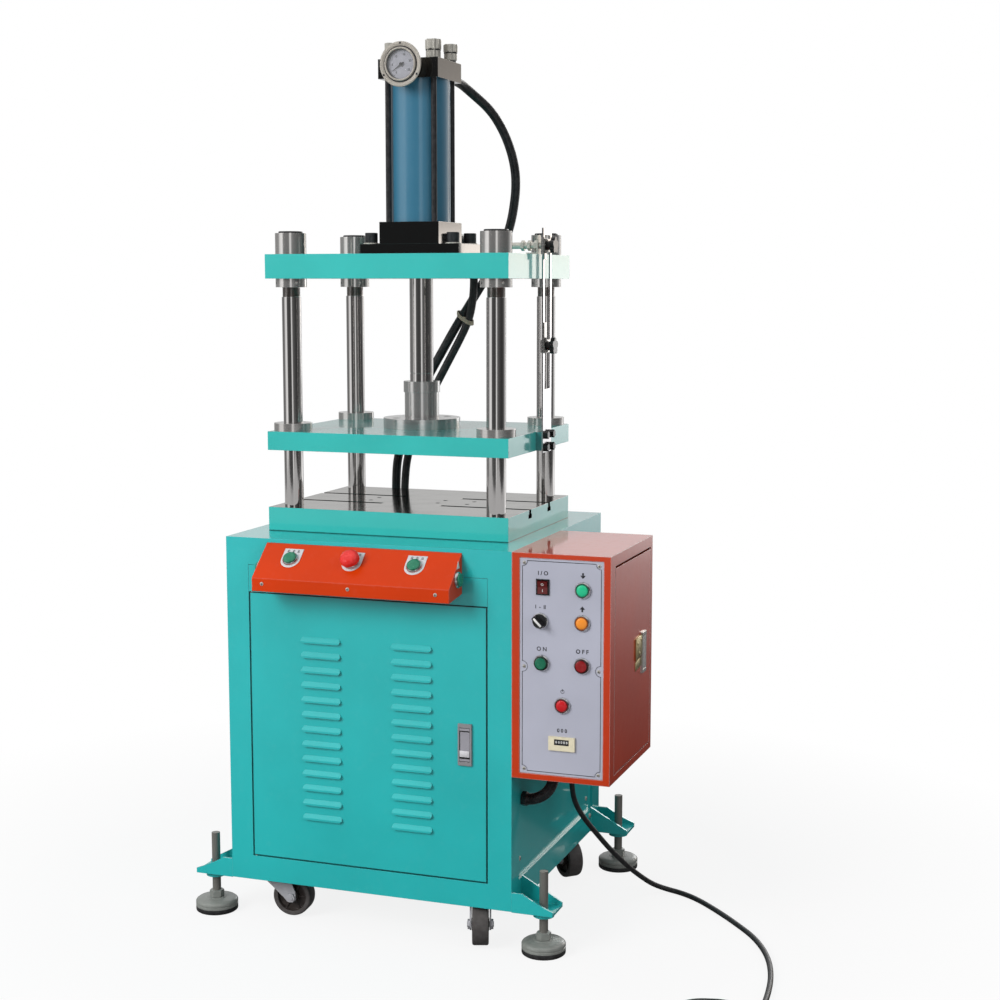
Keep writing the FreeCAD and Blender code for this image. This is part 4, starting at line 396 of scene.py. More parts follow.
def coat(name, colour, gloss=0.36, edge_highlight=0.10, bare=None, bare_colour=None, bare_rough=0.22,
         clear=1.0, dusty=0.08, dark=None, shine=0.5, metallic=1.0, edge=1.1, seam=None):
    """Gloss paint with a faint orange peel.

    bare marks where metal shows, and dark what is black in it or darkened with painted shade in hollows and
    gaps.
    seam marks a joint darkened with painted shade, and the edges carry a painted highlight.
    """
    finish = Finish(name)
    eased = finish.eased(edge)
    clouds = finish.noise(180, 4.0)
    dust = finish.noise(14, 6.0)
    flat = finish.mix(shade(colour, 0.95), shade(colour, 1.05), clouds.clear_of(0.35, 0.65))
    flat = finish.mix(flat, lighter(colour, 0.12), dust.clear_of(0.56, 0.8) * dusty)
    # Painted highlight: the edges are lightened towards white, as light catches the gloss on them.
    painted = finish.mix(flat, lighter(colour, edge_highlight), finish.edge(eased) * 0.7)
    # Painted shade: the seam mask darkens the paint where a joint or gap lies in shade.
    if seam:
        painted = finish.mix(painted, shade(colour, 0.2), seam(finish))
    peel = finish.noise(3.2, 1.0) + finish.noise(0.9, 1.0) * 0.35
    rough = clouds * 0.06 + dust.clear_of(0.5, 0.8) * 0.06 + (gloss - 0.04)
    finish.set(Normal=finish.bump(peel, 0.008, eased), Coat_Weight=clear, Coat_Roughness=0.06,
               Specular_IOR_Level=shine)
    if bare is None:
        return finish.set(Base_Color=painted, Roughness=rough)
    mask = bare(finish)
    grain = finish.noise(1.4, 4.0, stretch=(1, 0.04, 1))
    stain = finish.noise(45, 5.0).clear_of(0.42, 0.72)
    metal = finish.mix(shade(bare_colour, 0.85), shade(bare_colour, 1.12), grain)
    metal = finish.mix(metal, shade(bare_colour, 0.7), stain * 0.4)
    bare_roughness = grain * 0.10 + stain * 0.05 + (bare_rough - 0.08)
    tone = finish.mix(painted, metal, mask)
    share = mask * metallic
    # dark paints the parts that are black, and also paints shade into slot depths and gaps.
    if dark:
        deep = dark(finish)
        tone = finish.mix(tone, (0.008, 0.008, 0.008), deep)
        share = share * (1 - deep)
    return finish.set(Base_Color=tone, Metallic=share, Coat_Weight=(1 - mask) * clear,
                      Roughness=rough * (1 - mask) + bare_roughness * mask)


def steel(name, colour, rough, metallic=1.0):
    """Bare or plated metal."""
    finish = Finish(name)
    eased = finish.eased(0.5)
    grain = finish.noise(0.8, 4.0)
    clouds = finish.noise(22, 4.0)
    flat = finish.mix(shade(colour, 0.86), shade(colour, 1.1), grain)
    flat = finish.mix(flat, shade(colour, 0.72), clouds.clear_of(0.5, 0.75) * 0.25)
    # Painted highlight: the edges are lightened, as light catches them.
    bright = finish.mix(flat, lighter(colour, 0.25), finish.edge(eased) * 0.6)
    return finish.set(Base_Color=bright, Metallic=metallic, Normal=finish.bump(grain, 0.01, eased),
                      Roughness=grain * 0.10 + clouds * 0.06 + (rough - 0.05))


def moulded(name, colour, rough, coat_weight=0.0, grain=0.012, ring_round=None):
    """Plastic or rubber with a fine moulded grain and a little dust.

    ring_round is the middle of a cap whose rim is dark.
    """
    finish = Finish(name)
    eased = finish.eased(0.5)
    fine = finish.noise(0.5, 2.0)
    dust = finish.noise(9, 5.0)
    flat = finish.mix(shade(colour, 0.92), lighter(shade(colour, 1.05), 0.02), dust.clear_of(0.4, 0.75))
    # Painted highlight: the edges are lightened a little, as light catches them.
    tone = finish.mix(flat, lighter(colour, 0.1), finish.edge(eased) * 0.5)
    if ring_round:
        x, y, z = finish.axes()
        off = ((x - ring_round[0]) ** 2 + (z - ring_round[1]) ** 2) ** 0.5
        tone = finish.mix(tone, shade(colour, 0.15), off.clear_of(9.6, 10.2))
    return finish.set(Base_Color=tone, Roughness=dust * 0.12 + (rough - 0.05), Coat_Weight=coat_weight,
                      Coat_Roughness=0.05, Normal=finish.bump(fine, grain, eased))


def cap(name, colour, ring_round=None):
    return moulded(name, colour, 0.25, coat_weight=0.3, ring_round=ring_round)


def chrome(name, colour, rough=0.07):
    """Hard chrome with faint lines along Z and a trace of oil."""
    finish = Finish(name)
    film = finish.noise(60, 4.0, stretch=(1, 1, 0.3))
    fine = finish.noise(1.2, 2.0, stretch=(1, 1, 0.05))
    tone = finish.mix(shade(colour, 0.93), colour, film)
    return finish.set(Base_Color=tone, Metallic=1.0, Normal=finish.bump(fine, 0.004, finish.eased(0.6)),
                      Roughness=film.clear_of(0.4, 0.7) * 0.05 + (rough - 0.02))


def turned(name, colour, rough, centre=(0, 0), dark=None):
    """Turned metal whose tool lines go round vertical axes at +-centre. dark marks a blackened part."""
    finish = Finish(name)
    x, y, z = finish.axes()
    radius = ((abs(x) - centre[0]) ** 2 + (abs(y) - centre[1]) ** 2) ** 0.5
    lines = finish.node("TexNoise", {"W": z + radius, "Scale": 1.1, "Detail": 5.0}, noise_dimensions="1D")
    clouds = finish.noise(30, 4.0)
    tone = finish.mix(shade(colour, 0.78), shade(colour, 1.08), lines)
    tone = finish.mix(tone, shade(colour, 0.7), clouds.clear_of(0.5, 0.8) * 0.4)
    if dark:
        tone = finish.mix(tone, (0.012, 0.012, 0.012), dark(finish, radius))
    eased = finish.eased(0.6)
    # Painted highlight: the edges are lightened, as light catches them.
    tone = finish.mix(tone, lighter(colour, 0.3), finish.edge(eased) * 0.5)
    return finish.set(Base_Color=tone, Metallic=0.85, Roughness=lines * 0.10 + (rough - 0.05),
                      Normal=finish.bump(lines, 0.02, eased))


def lamp_glass(name, colour, glow=0.0):
    """Coloured lens with a little dust."""
    finish = Finish(name)
    dust = finish.noise(5, 4.0)
    tone = finish.mix(shade(colour, 0.85), lighter(colour, 0.015), dust)
    finish.set(Base_Color=tone, Roughness=dust * 0.1 + 0.12, Coat_Weight=0.4, Coat_Roughness=0.05)
    if glow:
        finish.set(Emission_Color=tone, Emission_Strength=glow)
    return finish


def dress(finish, *nodes):
    for node in nodes:
        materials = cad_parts[node].data.materials
        materials.clear()
        materials.append(finish.material)


# Sizes shared with the solids

BOX_FACE = -275.0
FACE_CENTRE = (371.0, 530.6)
BUTTONS_X = (-134.0, -13.0, 108.0)
SLOPE_UP = (0, 0.7474, 0.6644)
SLOPE_AT = (-304.0, 700.1)
COLUMN = (204.0, 144.0)
DOOR_HALF, DOOR_LOW, DOOR_TOP = 231.6, 129.9, 628.8
DOOR_LATCH, SIDE_LATCH, LATCH_HALF = (192.5, 379.5), (-62.0, 525.0), (13.05, 38.05)
TABLE_INNER, TABLE_LOW, TABLE_TOP = (239.9, 179.9), 732.0, 777.0
CORNERS = {"front_left": (-1, -1), "front_right": (1, -1), "rear_left": (-1, 1), "rear_right": (1, 1)}
CASTERS = {"front_left": (-212.0, -228.0, 5.0), "front_right": (200.0, -218.0, -70.4),
           "rear_left": (-228.0, 178.0, 60.0), "rear_right": (228.0, 178.0, -45.4)}

# On the box's face: each control's X and Z, and the height of the mark over it
CONTROLS = {"switch": (337.0, 673.0, 697.0), "down": (409.6, 671.3, 697.0), "mode": (332.7, 613.0, 637.5),
            "up": (408.7, 613.8, 637.5), "start": (335.2, 538.6, 563.0), "stop": (409.0, 538.6, 563.0),
            "power": (373.4, 465.5, 490.0), "count": (373.0, 397.0, 420.0)}


def on_front(x, y, z):
    return face_frame((x, y, z), RIGHT, UP)


def on_side(side, x, y, z):
    return face_frame((x, y, z), (0, side, 0), UP)


def on_face(x, z):
    return on_front(x, BOX_FACE, z)


def on_control(name):
    return on_face(*CONTROLS[name][:2])


def over_control(name):
    return on_face(CONTROLS[name][0], CONTROLS[name][2])


def on_slope(x, out=0.0):
    return face_frame((x, *SLOPE_AT), RIGHT, SLOPE_UP) @ moved(0, 0, out)


def on_end(side):
    return on_side(side, 187.0 if side > 0 else -195.0, -300.0, 681.0)


# Camera

camera = placed("camera", bpy.data.cameras.new("camera"))
camera.location = (1.26205, -3.09264, 1.19614)
camera.rotation_euler = (radians(82.870), 0, radians(19.615))
camera.data.sensor_width = 36.0
camera.data.lens = 62.34
bpy.context.scene.camera = camera

# Finishes of the press

turquoise = (0.015, 0.47, 0.47)
plate_turquoise = (0.036, 0.48, 0.445)
orange = (0.60, 0.041, 0.0015)


def latch_area(finish):
    x, y, z = finish.axes()
    return x.near(DOOR_LATCH[0], LATCH_HALF[0]) * z.near(DOOR_LATCH[1], LATCH_HALF[1])


def side_latch_area(finish):
    x, y, z = finish.axes()
    return y.near(SIDE_LATCH[0], LATCH_HALF[0]) * z.near(SIDE_LATCH[1], LATCH_HALF[1]) * (x > 440.0)


def inside_table(finish):
    x, y, z = finish.axes()
    return x.near(0.0, TABLE_INNER[0]) * y.near(0.0, TABLE_INNER[1]), z


def table_bare(finish):
    inside, z = inside_table(finish)
    return finish.either(inside, z > TABLE_TOP - 0.1)


# Partly painted shade: the depths of the T-slots and holes are painted near black, for their shade and some
# oil.
def table_depths(finish):
    inside, z = inside_table(finish)
    return inside * (z < TABLE_TOP - 0.6)


# Painted shade: a dark line along the table's foot, as the shadow where it sits on the cabinet.
def table_contact_shade(finish):
    return finish.axes()[2] < TABLE_LOW + 1.6


def bar_bare(finish):
    x, y, z = finish.axes()
    return finish.either(x > 250.98, z > 920.1)


def bar_bolts(finish):
    x, y, z = finish.axes()
    return (x > 254.05) * (z < 925.0)


def dog_flags(finish):
    return finish.axes()[0] < 257.02


def nut_bores(finish, radius):
    return (radius < 22.0) * (finish.axes()[2] > 1251.0)


# Painted shade: dark bands at the door's edges, as the shadow in the gap round it.
def door_gap_shade(finish):
    x, y, z = finish.axes()
    return finish.either(abs(x) > DOOR_HALF, z < DOOR_LOW, z > DOOR_TOP)


# Painted shade: dark lines where the paddle's gaps and recess lie in shade.
def paddle_gap_shade(finish):
    x, y, z = finish.axes()
    beside = (x < 184.2) * z.near(386.5, 17.5)
    return finish.either(z.near(404.2, 1.1), z.near(355.6, 1.7), beside)


bright_chrome = chrome("bright plating", (0.70, 0.70, 0.70), rough=0.10)
gauge_steel = steel("satin gauge case", (0.50, 0.465, 0.41), 0.30, metallic=0.45)
zinc = steel("zinc plating", (0.62, 0.60, 0.54), 0.26, metallic=0.5)
foot_steel = moulded("khaki enamel of the feet", (0.25, 0.265, 0.245), 0.36, coat_weight=0.3)
stem_steel = steel("oiled thread", (0.24, 0.23, 0.21), 0.34, metallic=0.4)
neck_steel = steel("dark thread of the necks", (0.26, 0.23, 0.21), 0.30)
dark_steel = moulded("black oxide", (0.016, 0.016, 0.018), 0.36)
brass = steel("yellow passivated steel", (0.60, 0.50, 0.26), 0.30)
white_plating = steel("light plating of the push plate", (0.78, 0.77, 0.80), 0.25, metallic=0.2)
rubber = moulded("black rubber", (0.018, 0.018, 0.019), 0.55)
hose_rubber = moulded("hose rubber", (0.014, 0.014, 0.015), 0.38, grain=0.03)
cord_rubber = moulded("lead sheath", (0.013, 0.013, 0.014), 0.42)
black_plastic = moulded("black plastic", (0.013, 0.013, 0.014), 0.25)
tread_rubber = moulded("castor tread", (0.075, 0.068, 0.066), 0.5)
core_plastic = moulded("castor core", (0.035, 0.028, 0.025), 0.4)
cream = moulded("cream plastic", (0.80, 0.73, 0.53), 0.4)
# Black for print, and for the dark sheets of painted shade in screw recesses and the gauge's grooves.
ink_and_shade = moulded("black ink", (0.02, 0.02, 0.025), 0.5)
white_paint = moulded("white paint", (0.78, 0.78, 0.76), 0.4)
label_metal = coat("label plate", (0.62, 0.62, 0.64), gloss=0.3, edge_highlight=0.3)
dial_white = moulded("dial card", (0.32, 0.32, 0.36), 0.5)
string = moulded("string", (0.56, 0.46, 0.35), 0.8, grain=0.1)
plug_red = moulded("plug shell", (0.42, 0.012, 0.012), 0.35)
plug_grey = moulded("plug collar", (0.42, 0.43, 0.44), 0.4)
weld_steel = coat("painted weld", shade(turquoise, 0.9), gloss=0.3)
glass = Finish("gauge glass")
glass.set(Base_Color=(0.95, 0.97, 0.96), Roughness=0.03, Alpha=0.05)
glass.material.surface_render_method = "BLENDED"

dress(coat("turquoise powder coat", turquoise), "cabinet_frame", "foot_brackets", "cabinet_panels")
dress(coat("turquoise gloss on plate", plate_turquoise, gloss=0.3), "top_plate", "moving_plate")
dress(coat("turquoise door with plated latch", turquoise, bare=latch_area, bare_colour=(0.40, 0.39, 0.41),
           bare_rough=0.3, metallic=0.4, seam=door_gap_shade), "front_door")
dress(coat("ground table with painted edges", plate_turquoise, gloss=0.3, bare=table_bare,
           bare_colour=(0.24, 0.23, 0.21), bare_rough=0.14, dark=table_depths, seam=table_contact_shade),
      "press_table")
dress(chrome("hard chrome", (0.74, 0.72, 0.71)), "guide_columns", "ram_rod")
dress(turned("turned steel of nuts", (0.80, 0.78, 0.76), 0.13, COLUMN, dark=nut_bores), "column_nuts")
dress(turned("turned steel of bushes", (0.72, 0.70, 0.68), 0.15, COLUMN), "guide_bushes")
dress(turned("turned steel of the ram", (0.68, 0.67, 0.66), 0.15), "ram_coupling")
dress(coat("black gloss", (0.003, 0.003, 0.003), gloss=0.10, edge_highlight=0.06, dusty=0.0), "cylinder_blocks")
dress(coat("blue gloss", (0.040, 0.165, 0.26), gloss=0.3), "cylinder_tube")
dress(dark_steel, "cylinder_bolts")
dress(coat("flat bar with painted spacer", (0.03, 0.22, 0.22), bare=bar_bare,
           bare_colour=(0.62, 0.61, 0.62), bare_rough=0.16, dark=bar_bolts), "limit_bar")
dress(zinc, "port_fittings", "limit_sensor", "small_screws")
dress(coat("plated flag with black knob", (0.010, 0.010, 0.011), gloss=0.3, clear=0.3, bare=dog_flags,
           bare_colour=(0.50, 0.49, 0.47)), "upper_dog", "lower_dog")
dress(black_plastic, "mode_selector", "gauge_needle")
dress(coat("orange powder coat", orange, clear=0.1, shine=0.2, edge=3.0), "console_housing")
# Painted shade: the box and its door take the console's orange made 12 % darker, as they fall darker in the
# light. The box, its door and the face plate below get strong painted highlights on their edges.
dress(coat("orange powder coat of the box", shade(orange, 0.88), shine=0.2, edge=2.0, edge_highlight=0.6),
      "box_housing")
dress(coat("orange door with plated latch", shade(orange, 0.88), bare=side_latch_area,
           bare_colour=(0.55, 0.53, 0.50), shine=0.2, edge=2.0, edge_highlight=0.7, metallic=0.6), "box_door")
dress(coat("grey face plate", (0.455, 0.465, 0.55), gloss=0.34, edge_highlight=0.8, clear=0.1), "box_panel")
dress(cap("green cap", (0.010, 0.19, 0.10)),
      "console_button_left", "console_button_right", "console_end_left", "console_end_right")
dress(cap("dark green cap", (0.003, 0.15, 0.075), CONTROLS["start"]), "box_start_button")
dress(cap("red cap", (0.75, 0.020, 0.016)), "console_stop")
dress(cap("dark red cap", (0.27, 0.002, 0.004), CONTROLS["stop"]), "box_stop_button")
dress(lamp_glass("red rocker", (0.11, 0.003, 0.003)), "power_rocker")
dress(coat("plated paddle", turquoise, bare=latch_area, bare_colour=(0.48, 0.47, 0.52), dark=paddle_gap_shade,
           metallic=0.4), "door_paddle")
dress(steel("plated latch", (0.60, 0.59, 0.57), 0.24, metallic=0.6), "box_paddle")
dress(coat("grey enamel", (0.12, 0.14, 0.15), clear=0.3), "power_unit")
dress(steel("plated castor", (0.55, 0.55, 0.58), 0.28, metallic=0.3),
      "caster_plates", *("fork_" + name for name in CORNERS))
dress(tread_rubber, *("wheel_" + name for name in CORNERS))
dress(foot_steel, *("foot_" + name for name in CORNERS))
dress(plug_red, "cord_plug")


# Cords


def cord_piece(name, points, radius, finish):
    """NURBS tube through the pull of its points, which are millimetres."""
    curve = bpy.data.curves.new(name, "CURVE")
    curve.dimensions = "3D"
    curve.bevel_depth = radius * MM
    curve.bevel_resolution = 5
    curve.use_fill_caps = True
    line = curve.splines.new("NURBS")
    line.points.add(len(points) - 1)
    for point, (x, y, z) in zip(line.points, points):
        point.co = (x * MM, y * MM, z * MM, 1)
    line.order_u = 3
    line.use_endpoint_u = True
    line.resolution_u = 10
    curve.materials.append(finish.material)
    return placed(name, curve)


def centre_line(piece):
    """Points of a cord's own line, in millimetres."""
    bare = piece.data.copy()
    bare.bevel_depth = 0
    mesh = meshed(bare)
    line = [vertex.co / MM for vertex in mesh.vertices]
    bpy.data.meshes.remove(mesh)
    return line


lead_route = [(328, -78, 302), (329, -75, 266), (331, -65, 229), (344, -48, 194), (360, -24, 161),
              (377, 10, 121), (393, 44, 87), (406, 77, 58), (420, 104, 35), (437, 120, 18), (462, 129, 8),
              (494, 125, 5), (532, 101, 5), (582, 52, 5), (632, -4, 5), (680, -64, 5), (718, -142, 5),
              (740, -226, 5), (750, -312, 5), (752, -398, 5), (752, -470, 5)]
COIL_CENTRE = (691.0, -490.0)
PER_TURN = 16
coil_heights = ((0.0, 5.0), (1.0, 5.0), (3.75, 38.0), (4.0, 41.0), (5.25, 26.2))
coil_radii = ((0.0, 61.0), (0.75, 61.0), (1.0, 49.0), (3.75, 49.0), (4.0, 61.0), (5.25, 61.0))


def between(stops, at):
    for (low, first), (high, second) in zip(stops, stops[1:]):
        if at <= high:
            return first + (second - first) * (at - low) / (high - low)
    return stops[-1][1]


pull = 1 / cos(pi / PER_TURN)
for step in range(1, int(5.25 * PER_TURN) + 1):
    turn = (step - 0.5) / PER_TURN
    angle = -2 * pi * turn
    reach = between(coil_radii, turn) * pull
    lead_route.append((COIL_CENTRE[0] + reach * cos(angle), COIL_CENTRE[1] + reach * sin(angle),
                       between(coil_heights, turn)))
lead_route += [(675, -551, 26.2), (641, -551, 26.2)]
lead = cord_piece("mains_lead", lead_route, 5.0, cord_rubber)
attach(lead, "cabinet")
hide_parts("power_cord", "cord_coil")

plug = Shape()
plug_place = along((641, -551, 26.2), LEFT)
plug.spun([(5.2, 0), (8, 0), (8.6, 3), (8, 5), (9, 8), (8.4, 10), (9.4, 13), (9, 15), (11, 22), (19, 30),
           (23, 36), (23, 62), (0, 62)], plug_place, ease=0.6)
for rib in range(12):
    turn = Matrix.Rotation(pi * rib / 6, 4, "Z")
    plug.block(21.5, 24.2, -2.2, 2.2, 38, 60, plug_place @ turn, ease=0.8)
plug.finish = 1
plug.spun([(0, 62), (24, 62), (26, 64), (26, 70), (24.5, 71.5), (24.5, 110), (23.5, 118), (21.8, 118),
           (21.8, 98), (0, 98)], plug_place, ease=0.5)
plug.block(-5, 5, 23, 25.9, 72, 112, plug_place, ease=1.0)
plug.finish = 2
for quarter in range(4):
    angle = pi / 4 + pi / 2 * quarter
    pin = plug_place @ moved(*polar(13, angle), 0)
    plug.spun([(0, 97), (3, 97), (3, 133), (2.2, 135), (0, 135)], pin, 20)
plug = plug.piece("mains_plug", (plug_red, plug_grey, brass), "cabinet", "plug_body")
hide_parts("cord_plug")

upper_route = [(28, 85, 1586), (28, 130, 1586), (41, 166, 1568), (71, 193, 1537), (92, 207, 1499),
               (106, 215, 1460), (114, 219, 1422), (115, 221, 1387), (111, 223, 1355), (105, 224, 1323),
               (95, 225, 1291), (74, 228, 1251), (49, 228, 1208), (20, 228, 1164), (1, 220, 1131),
               (-16, 213, 1101), (-39, 211, 1061), (-68, 211, 1013), (-97, 212, 962), (-123, 214, 905),
               (-142, 216, 842), (-147, 216, 800), (-147, 216, 752)]
lower_route = [(22, 105, 1288), (22, 158, 1288), (23, 182, 1278), (25, 200, 1260), (28, 209, 1236),
               (30, 209, 1201), (28, 208, 1165), (21, 207, 1127), (4, 207, 1091), (-22, 206, 1044),
               (-52, 205, 990), (-82, 203, 934), (-106, 201, 875), (-121, 200, 808), (-121, 200, 752)]
hoses = []
for name, route, radius, length in (("hose_upper", upper_route, 9.0, 0.996),
                                    ("hose_lower", lower_route, 8.0, 0.645)):
    hose = cord_piece("rubber_" + name, route, radius, hose_rubber)
    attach(hose, "cabinet")
    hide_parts(name)
    2 * radius * MM
    hoses.append(hose)


# String round the two hoses, at the height where they meet

TIE_Z = 1127.0
lines = [centre_line(hose) for hose in hoses]
held = [min(line, key=lambda point: abs(point.z - TIE_Z)) for line in lines]
middle = (held[0] + held[1]) / 2
apart = held[1] - held[0]
half_span = apart.length / 2
apart.normalize()
toward = Vector(UP).cross(apart)
tie = Shape()
for loop in range(3):
    loop_line = []
    for step in range(49):
        angle = 2 * pi * step / 48
        side = apart * (half_span + 10.0) * cos(angle)
        depth = toward * 11.0 * sin(angle)
        slope = Vector((0, 0, loop * 2.8 - 2.8 - 9.0 * cos(angle)))
        loop_line.append(middle + side + depth + slope)
    tie.swept(loop_line, 1.4, 8)
knot_at = middle - toward * 11.5
tie.swept([knot_at + Vector((-3, 0, 2)), knot_at, knot_at + Vector((4, 0, -2))], [1.6, 3.0, 1.6], 10)
tie.swept([knot_at, knot_at + Vector((6, -3, 2)), knot_at + Vector((14, -2, -1))], 1.2, 8)
tie.piece("hose_string", (string,), "cabinet", "hose_rubber")

# Conduit with its glands, and the lead's strain relief

conduit = Shape()
conduit_line = []
conduit_radii = []
RIBS = 24
for step in range(RIBS * 4 + 1):
    angle = pi / 2 * step / (RIBS * 4)
    conduit_line.append((285 + 50 * cos(angle), -202, 318 - 50 * sin(angle)))
    conduit_radii.append((9.2, 10.1, 10.5, 10.1)[step % 4])
conduit.swept(conduit_line, conduit_radii, 28)
for place, radius in ((along((335, -202, 318), UP), 8.5), (along((285, -202, 268), LEFT), 9.0)):
    conduit.nut(24, 0, 10, place)
    conduit.spun([(0, 9), (radius, 9), (radius, 19), (0, 19)], place, 32)
    conduit.spun([(0, -3), (10.8, -3), (11.4, 1), (0, 1)], place, 32, ease=0.4)
relief = along((328, -78, 302), UP)
conduit.spun([(0, 0), (6.2, 0), (6.6, 2), (6.0, 3.2), (6.9, 5), (6.3, 6.4), (7.3, 8.5), (6.8, 10), (8.5, 13),
              (8.5, 17), (0, 17)], relief, 32)
conduit.nut(20, 16, 26, relief)
conduit.spun([(0, 26), (7.5, 26), (7.5, 35), (0, 35)], relief, 28)
conduit = conduit.piece("ribbed_conduit", (black_plastic,), "cabinet", "black_plastic")
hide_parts("wiring_conduit")

# Levelling feet

for name, (sx, sy) in CORNERS.items():
    foot = Shape()
    at = moved(sx * 331.0, sy * 246.0, 0)
    foot.spun([(0, 0), (37.5, 0), (39.5, 1.5), (40, 3), (40, 7.5), (39.2, 9), (0, 9)], at, 64)
    foot.finish = 1
    foot.spun([(0, 9), (39, 9), (40, 10), (40, 13.6), (39.2, 14.2), (39.2, 15.2), (40, 15.8), (40, 19),
               (39, 20.8), (36, 23), (30, 24), (18.5, 25.2), (18, 26), (0, 26)], at, 64)
    foot.nut(24, 26, 39, at)
    foot.finish = 2
    foot.spun([(8, 152), (8, 26)], at)
    foot.thread(8, 2.0, 38.5, 152, at)
    foot = foot.piece("threaded_foot_" + name, (rubber, foot_steel, stem_steel), "levelling_foot_" + name,
                      "foot_steel")
    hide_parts("foot_" + name)

# Castor wheels

for name, (x, y, heading) in CASTERS.items():
    turn = radians(heading)
    hub = (x + cos(turn) * 36, y + sin(turn) * 36, 40.5)
    place = along(hub, (-sin(turn), cos(turn), 0))
    wheel = Shape()
    wheel.spun([(28.5, -14), (34.5, -15), (36.6, -14), (37.5, -11.5), (37.5, 11.5), (36.6, 14), (34.5, 15),
                (28.5, 14)], place, 64, ring=True)
    wheel.finish = 1
    wheel.spun([(5.05, -16), (11, -16), (12, -15), (12.6, -5), (27, -7), (28.6, -13), (28.6, 13), (27, 7),
                (12.6, 5), (12, 15), (11, 16), (5.05, 16)], place, 48, ring=True)
    for spoke in range(6):
        arm = place @ Matrix.Rotation(pi * spoke / 3, 4, "Z")
        wheel.block(11.5, 28, -1.4, 1.4, -9.5, 9.5, arm, ease=0.5)
    wheel = wheel.piece("castor_wheel_" + name, (tread_rubber, core_plastic), "caster_wheel_" + name,
                        "wheel_black")
    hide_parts("wheel_" + name)

# Weld beads where the foot brackets meet the cabinet

beads = Shape()
for sx in SIDES:
    x = sx * 281.2
    for y, top in ((277.0, 113.0), (215.0, 128.0), (-215.0, 128.0)):
        run = [(x, y, 80 + (top - 80) * step / 24) for step in range(25)]
        beads.swept(run, [1.6 + 0.5 * (step % 2) for step in range(25)], 10)
beads.piece("bracket_welds", (weld_steel,), "cabinet", "cabinet_paint")

# Screws

screws = Shape()


def fasten(place, shank, deep, radius, high):
    screws.spun([(0, -deep), (shank, -deep), (shank, 0), (0, 0)], place, 16)
    screws.screw(place, radius, high)


for side in SIDES:
    for y, z in ((-218.0, 160.0), (198.0, 153.0)):
        fasten(on_side(side, side * 275.0, y, z), 2.5, 8, 4.5, 2.5)
    for y, z in ((-207.0, 116.0), (209.0, 114.5)):
        fasten(on_side(side, side * 280.0, y, z), 3, 5, 5.0, 3.0)
for x in (-175.0, -6.0, 161.0):
    fasten(on_front(x, -339.0, 659.0), 2, 6, 3.5, 1.6)
for dz in (184.0, 0.0, -184.0):
    for side in SIDES:
        fasten(on_face(FACE_CENTRE[0] + side * 68.0, FACE_CENTRE[1] + dz), 2, 8, 3.2, 1.6)
for x, y, low, high in ((-229.8, -272.8, 116.5, 137.5), (-229.8, -272.8, 621.0, 641.5),
                        (456.8, -244.8, 334.0, 352.0), (456.8, -244.8, 699.0, 719.0)):
    screws.spun([(0, low), (1.6, low), (2, low + 0.5), (2, high - 0.5), (1.6, high), (0, high)],
                moved(x, y, 0), 20)
screws = screws.piece("screws_and_hinge_pins", (zinc, ink_and_shade), "cabinet", "zinc")
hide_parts("small_screws")

# Pressure gauge

gauge = Shape()
place = on_front(-3.0, -90.0, 1596.0)
gauge.spun([(0, -8), (27.2, -8), (27.2, 1.0), (27.9, 1.9), (29.8, 1.9), (30.7, 1.0), (30.9, -1.9),
            (33.0, -1.9), (34.0, -0.9), (36, -0.4), (40.2, -0.6), (41, -1.4), (41, -3), (31.5, -3),
            (31, -3.5), (31, -26), (29, -28), (7, -28), (7, -40), (0, -40)], place, 96)
# Painted shade: a dark ring in the groove round the raised ring, one on the raised ring's inner wall, and
# dark screw heads for the shade of the screw holes.
gauge.finish = 1
gauge.spun([(30.95, -2.0), (32.9, -2.0), (32.9, -1.8), (30.95, -1.8)], place, 96, ring=True)
gauge.spun([(26.2, -7.2), (27.25, -7.2), (27.25, -0.5), (26.9, -0.5), (26.9, -6.9), (26.2, -6.9)], place, 96,
           ring=True)
for angle in (radians(90), radians(210), radians(330)):
    gauge.screw(place @ moved(*polar(37.8, angle), -0.2), 1.9, 0.6, cross=False)
gauge.piece("gauge_case", (gauge_steel, ink_and_shade), "cabinet", "gauge_steel")
dial = Shape()
dial.spun([(0, -8), (28.4, -8), (28.4, -7), (0, -7)], place, 64)
dial.finish = 1
SPAN, START = 270.0, 235.0
for mark in range(51):
    long = 4.2 if mark % 10 == 0 else (3.0 if mark % 5 == 0 else 1.8)
    wide = 0.45 if mark % 10 == 0 else 0.22
    spin = place @ Matrix.Rotation(radians(START - SPAN * mark / 50), 4, "Z")
    dial.block(26.2 - long, 26.2, -wide, wide, -7.1, -6.85, spin)
for number in range(6):
    angle = radians(START - SPAN * number / 5)
    dial.letters(str(number * 5), 5.4, 0.2, place @ moved(*polar(18.0, angle), -6.95))
dial.piece("gauge_dial", (dial_white, ink_and_shade), "cabinet", "gauge_steel")
hub = Shape()
hub.spun([(0, -4.6), (3.4, -4.6), (3.4, -3.2), (2.8, -2.6), (0, -2.6)], place, 32)
hub.piece("needle_hub", (black_plastic,), "needle", "gauge_steel")
cover = Shape()
cover.spun([(0, -2.0), (27.15, -2.0), (27.15, -0.5), (20, -0.35), (0, -0.3)], place, 64)
cover = cover.piece("gauge_window", (glass,), "cabinet", "gauge_steel")
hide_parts("pressure_gauge")

# Nuts on the cylinder's top fittings

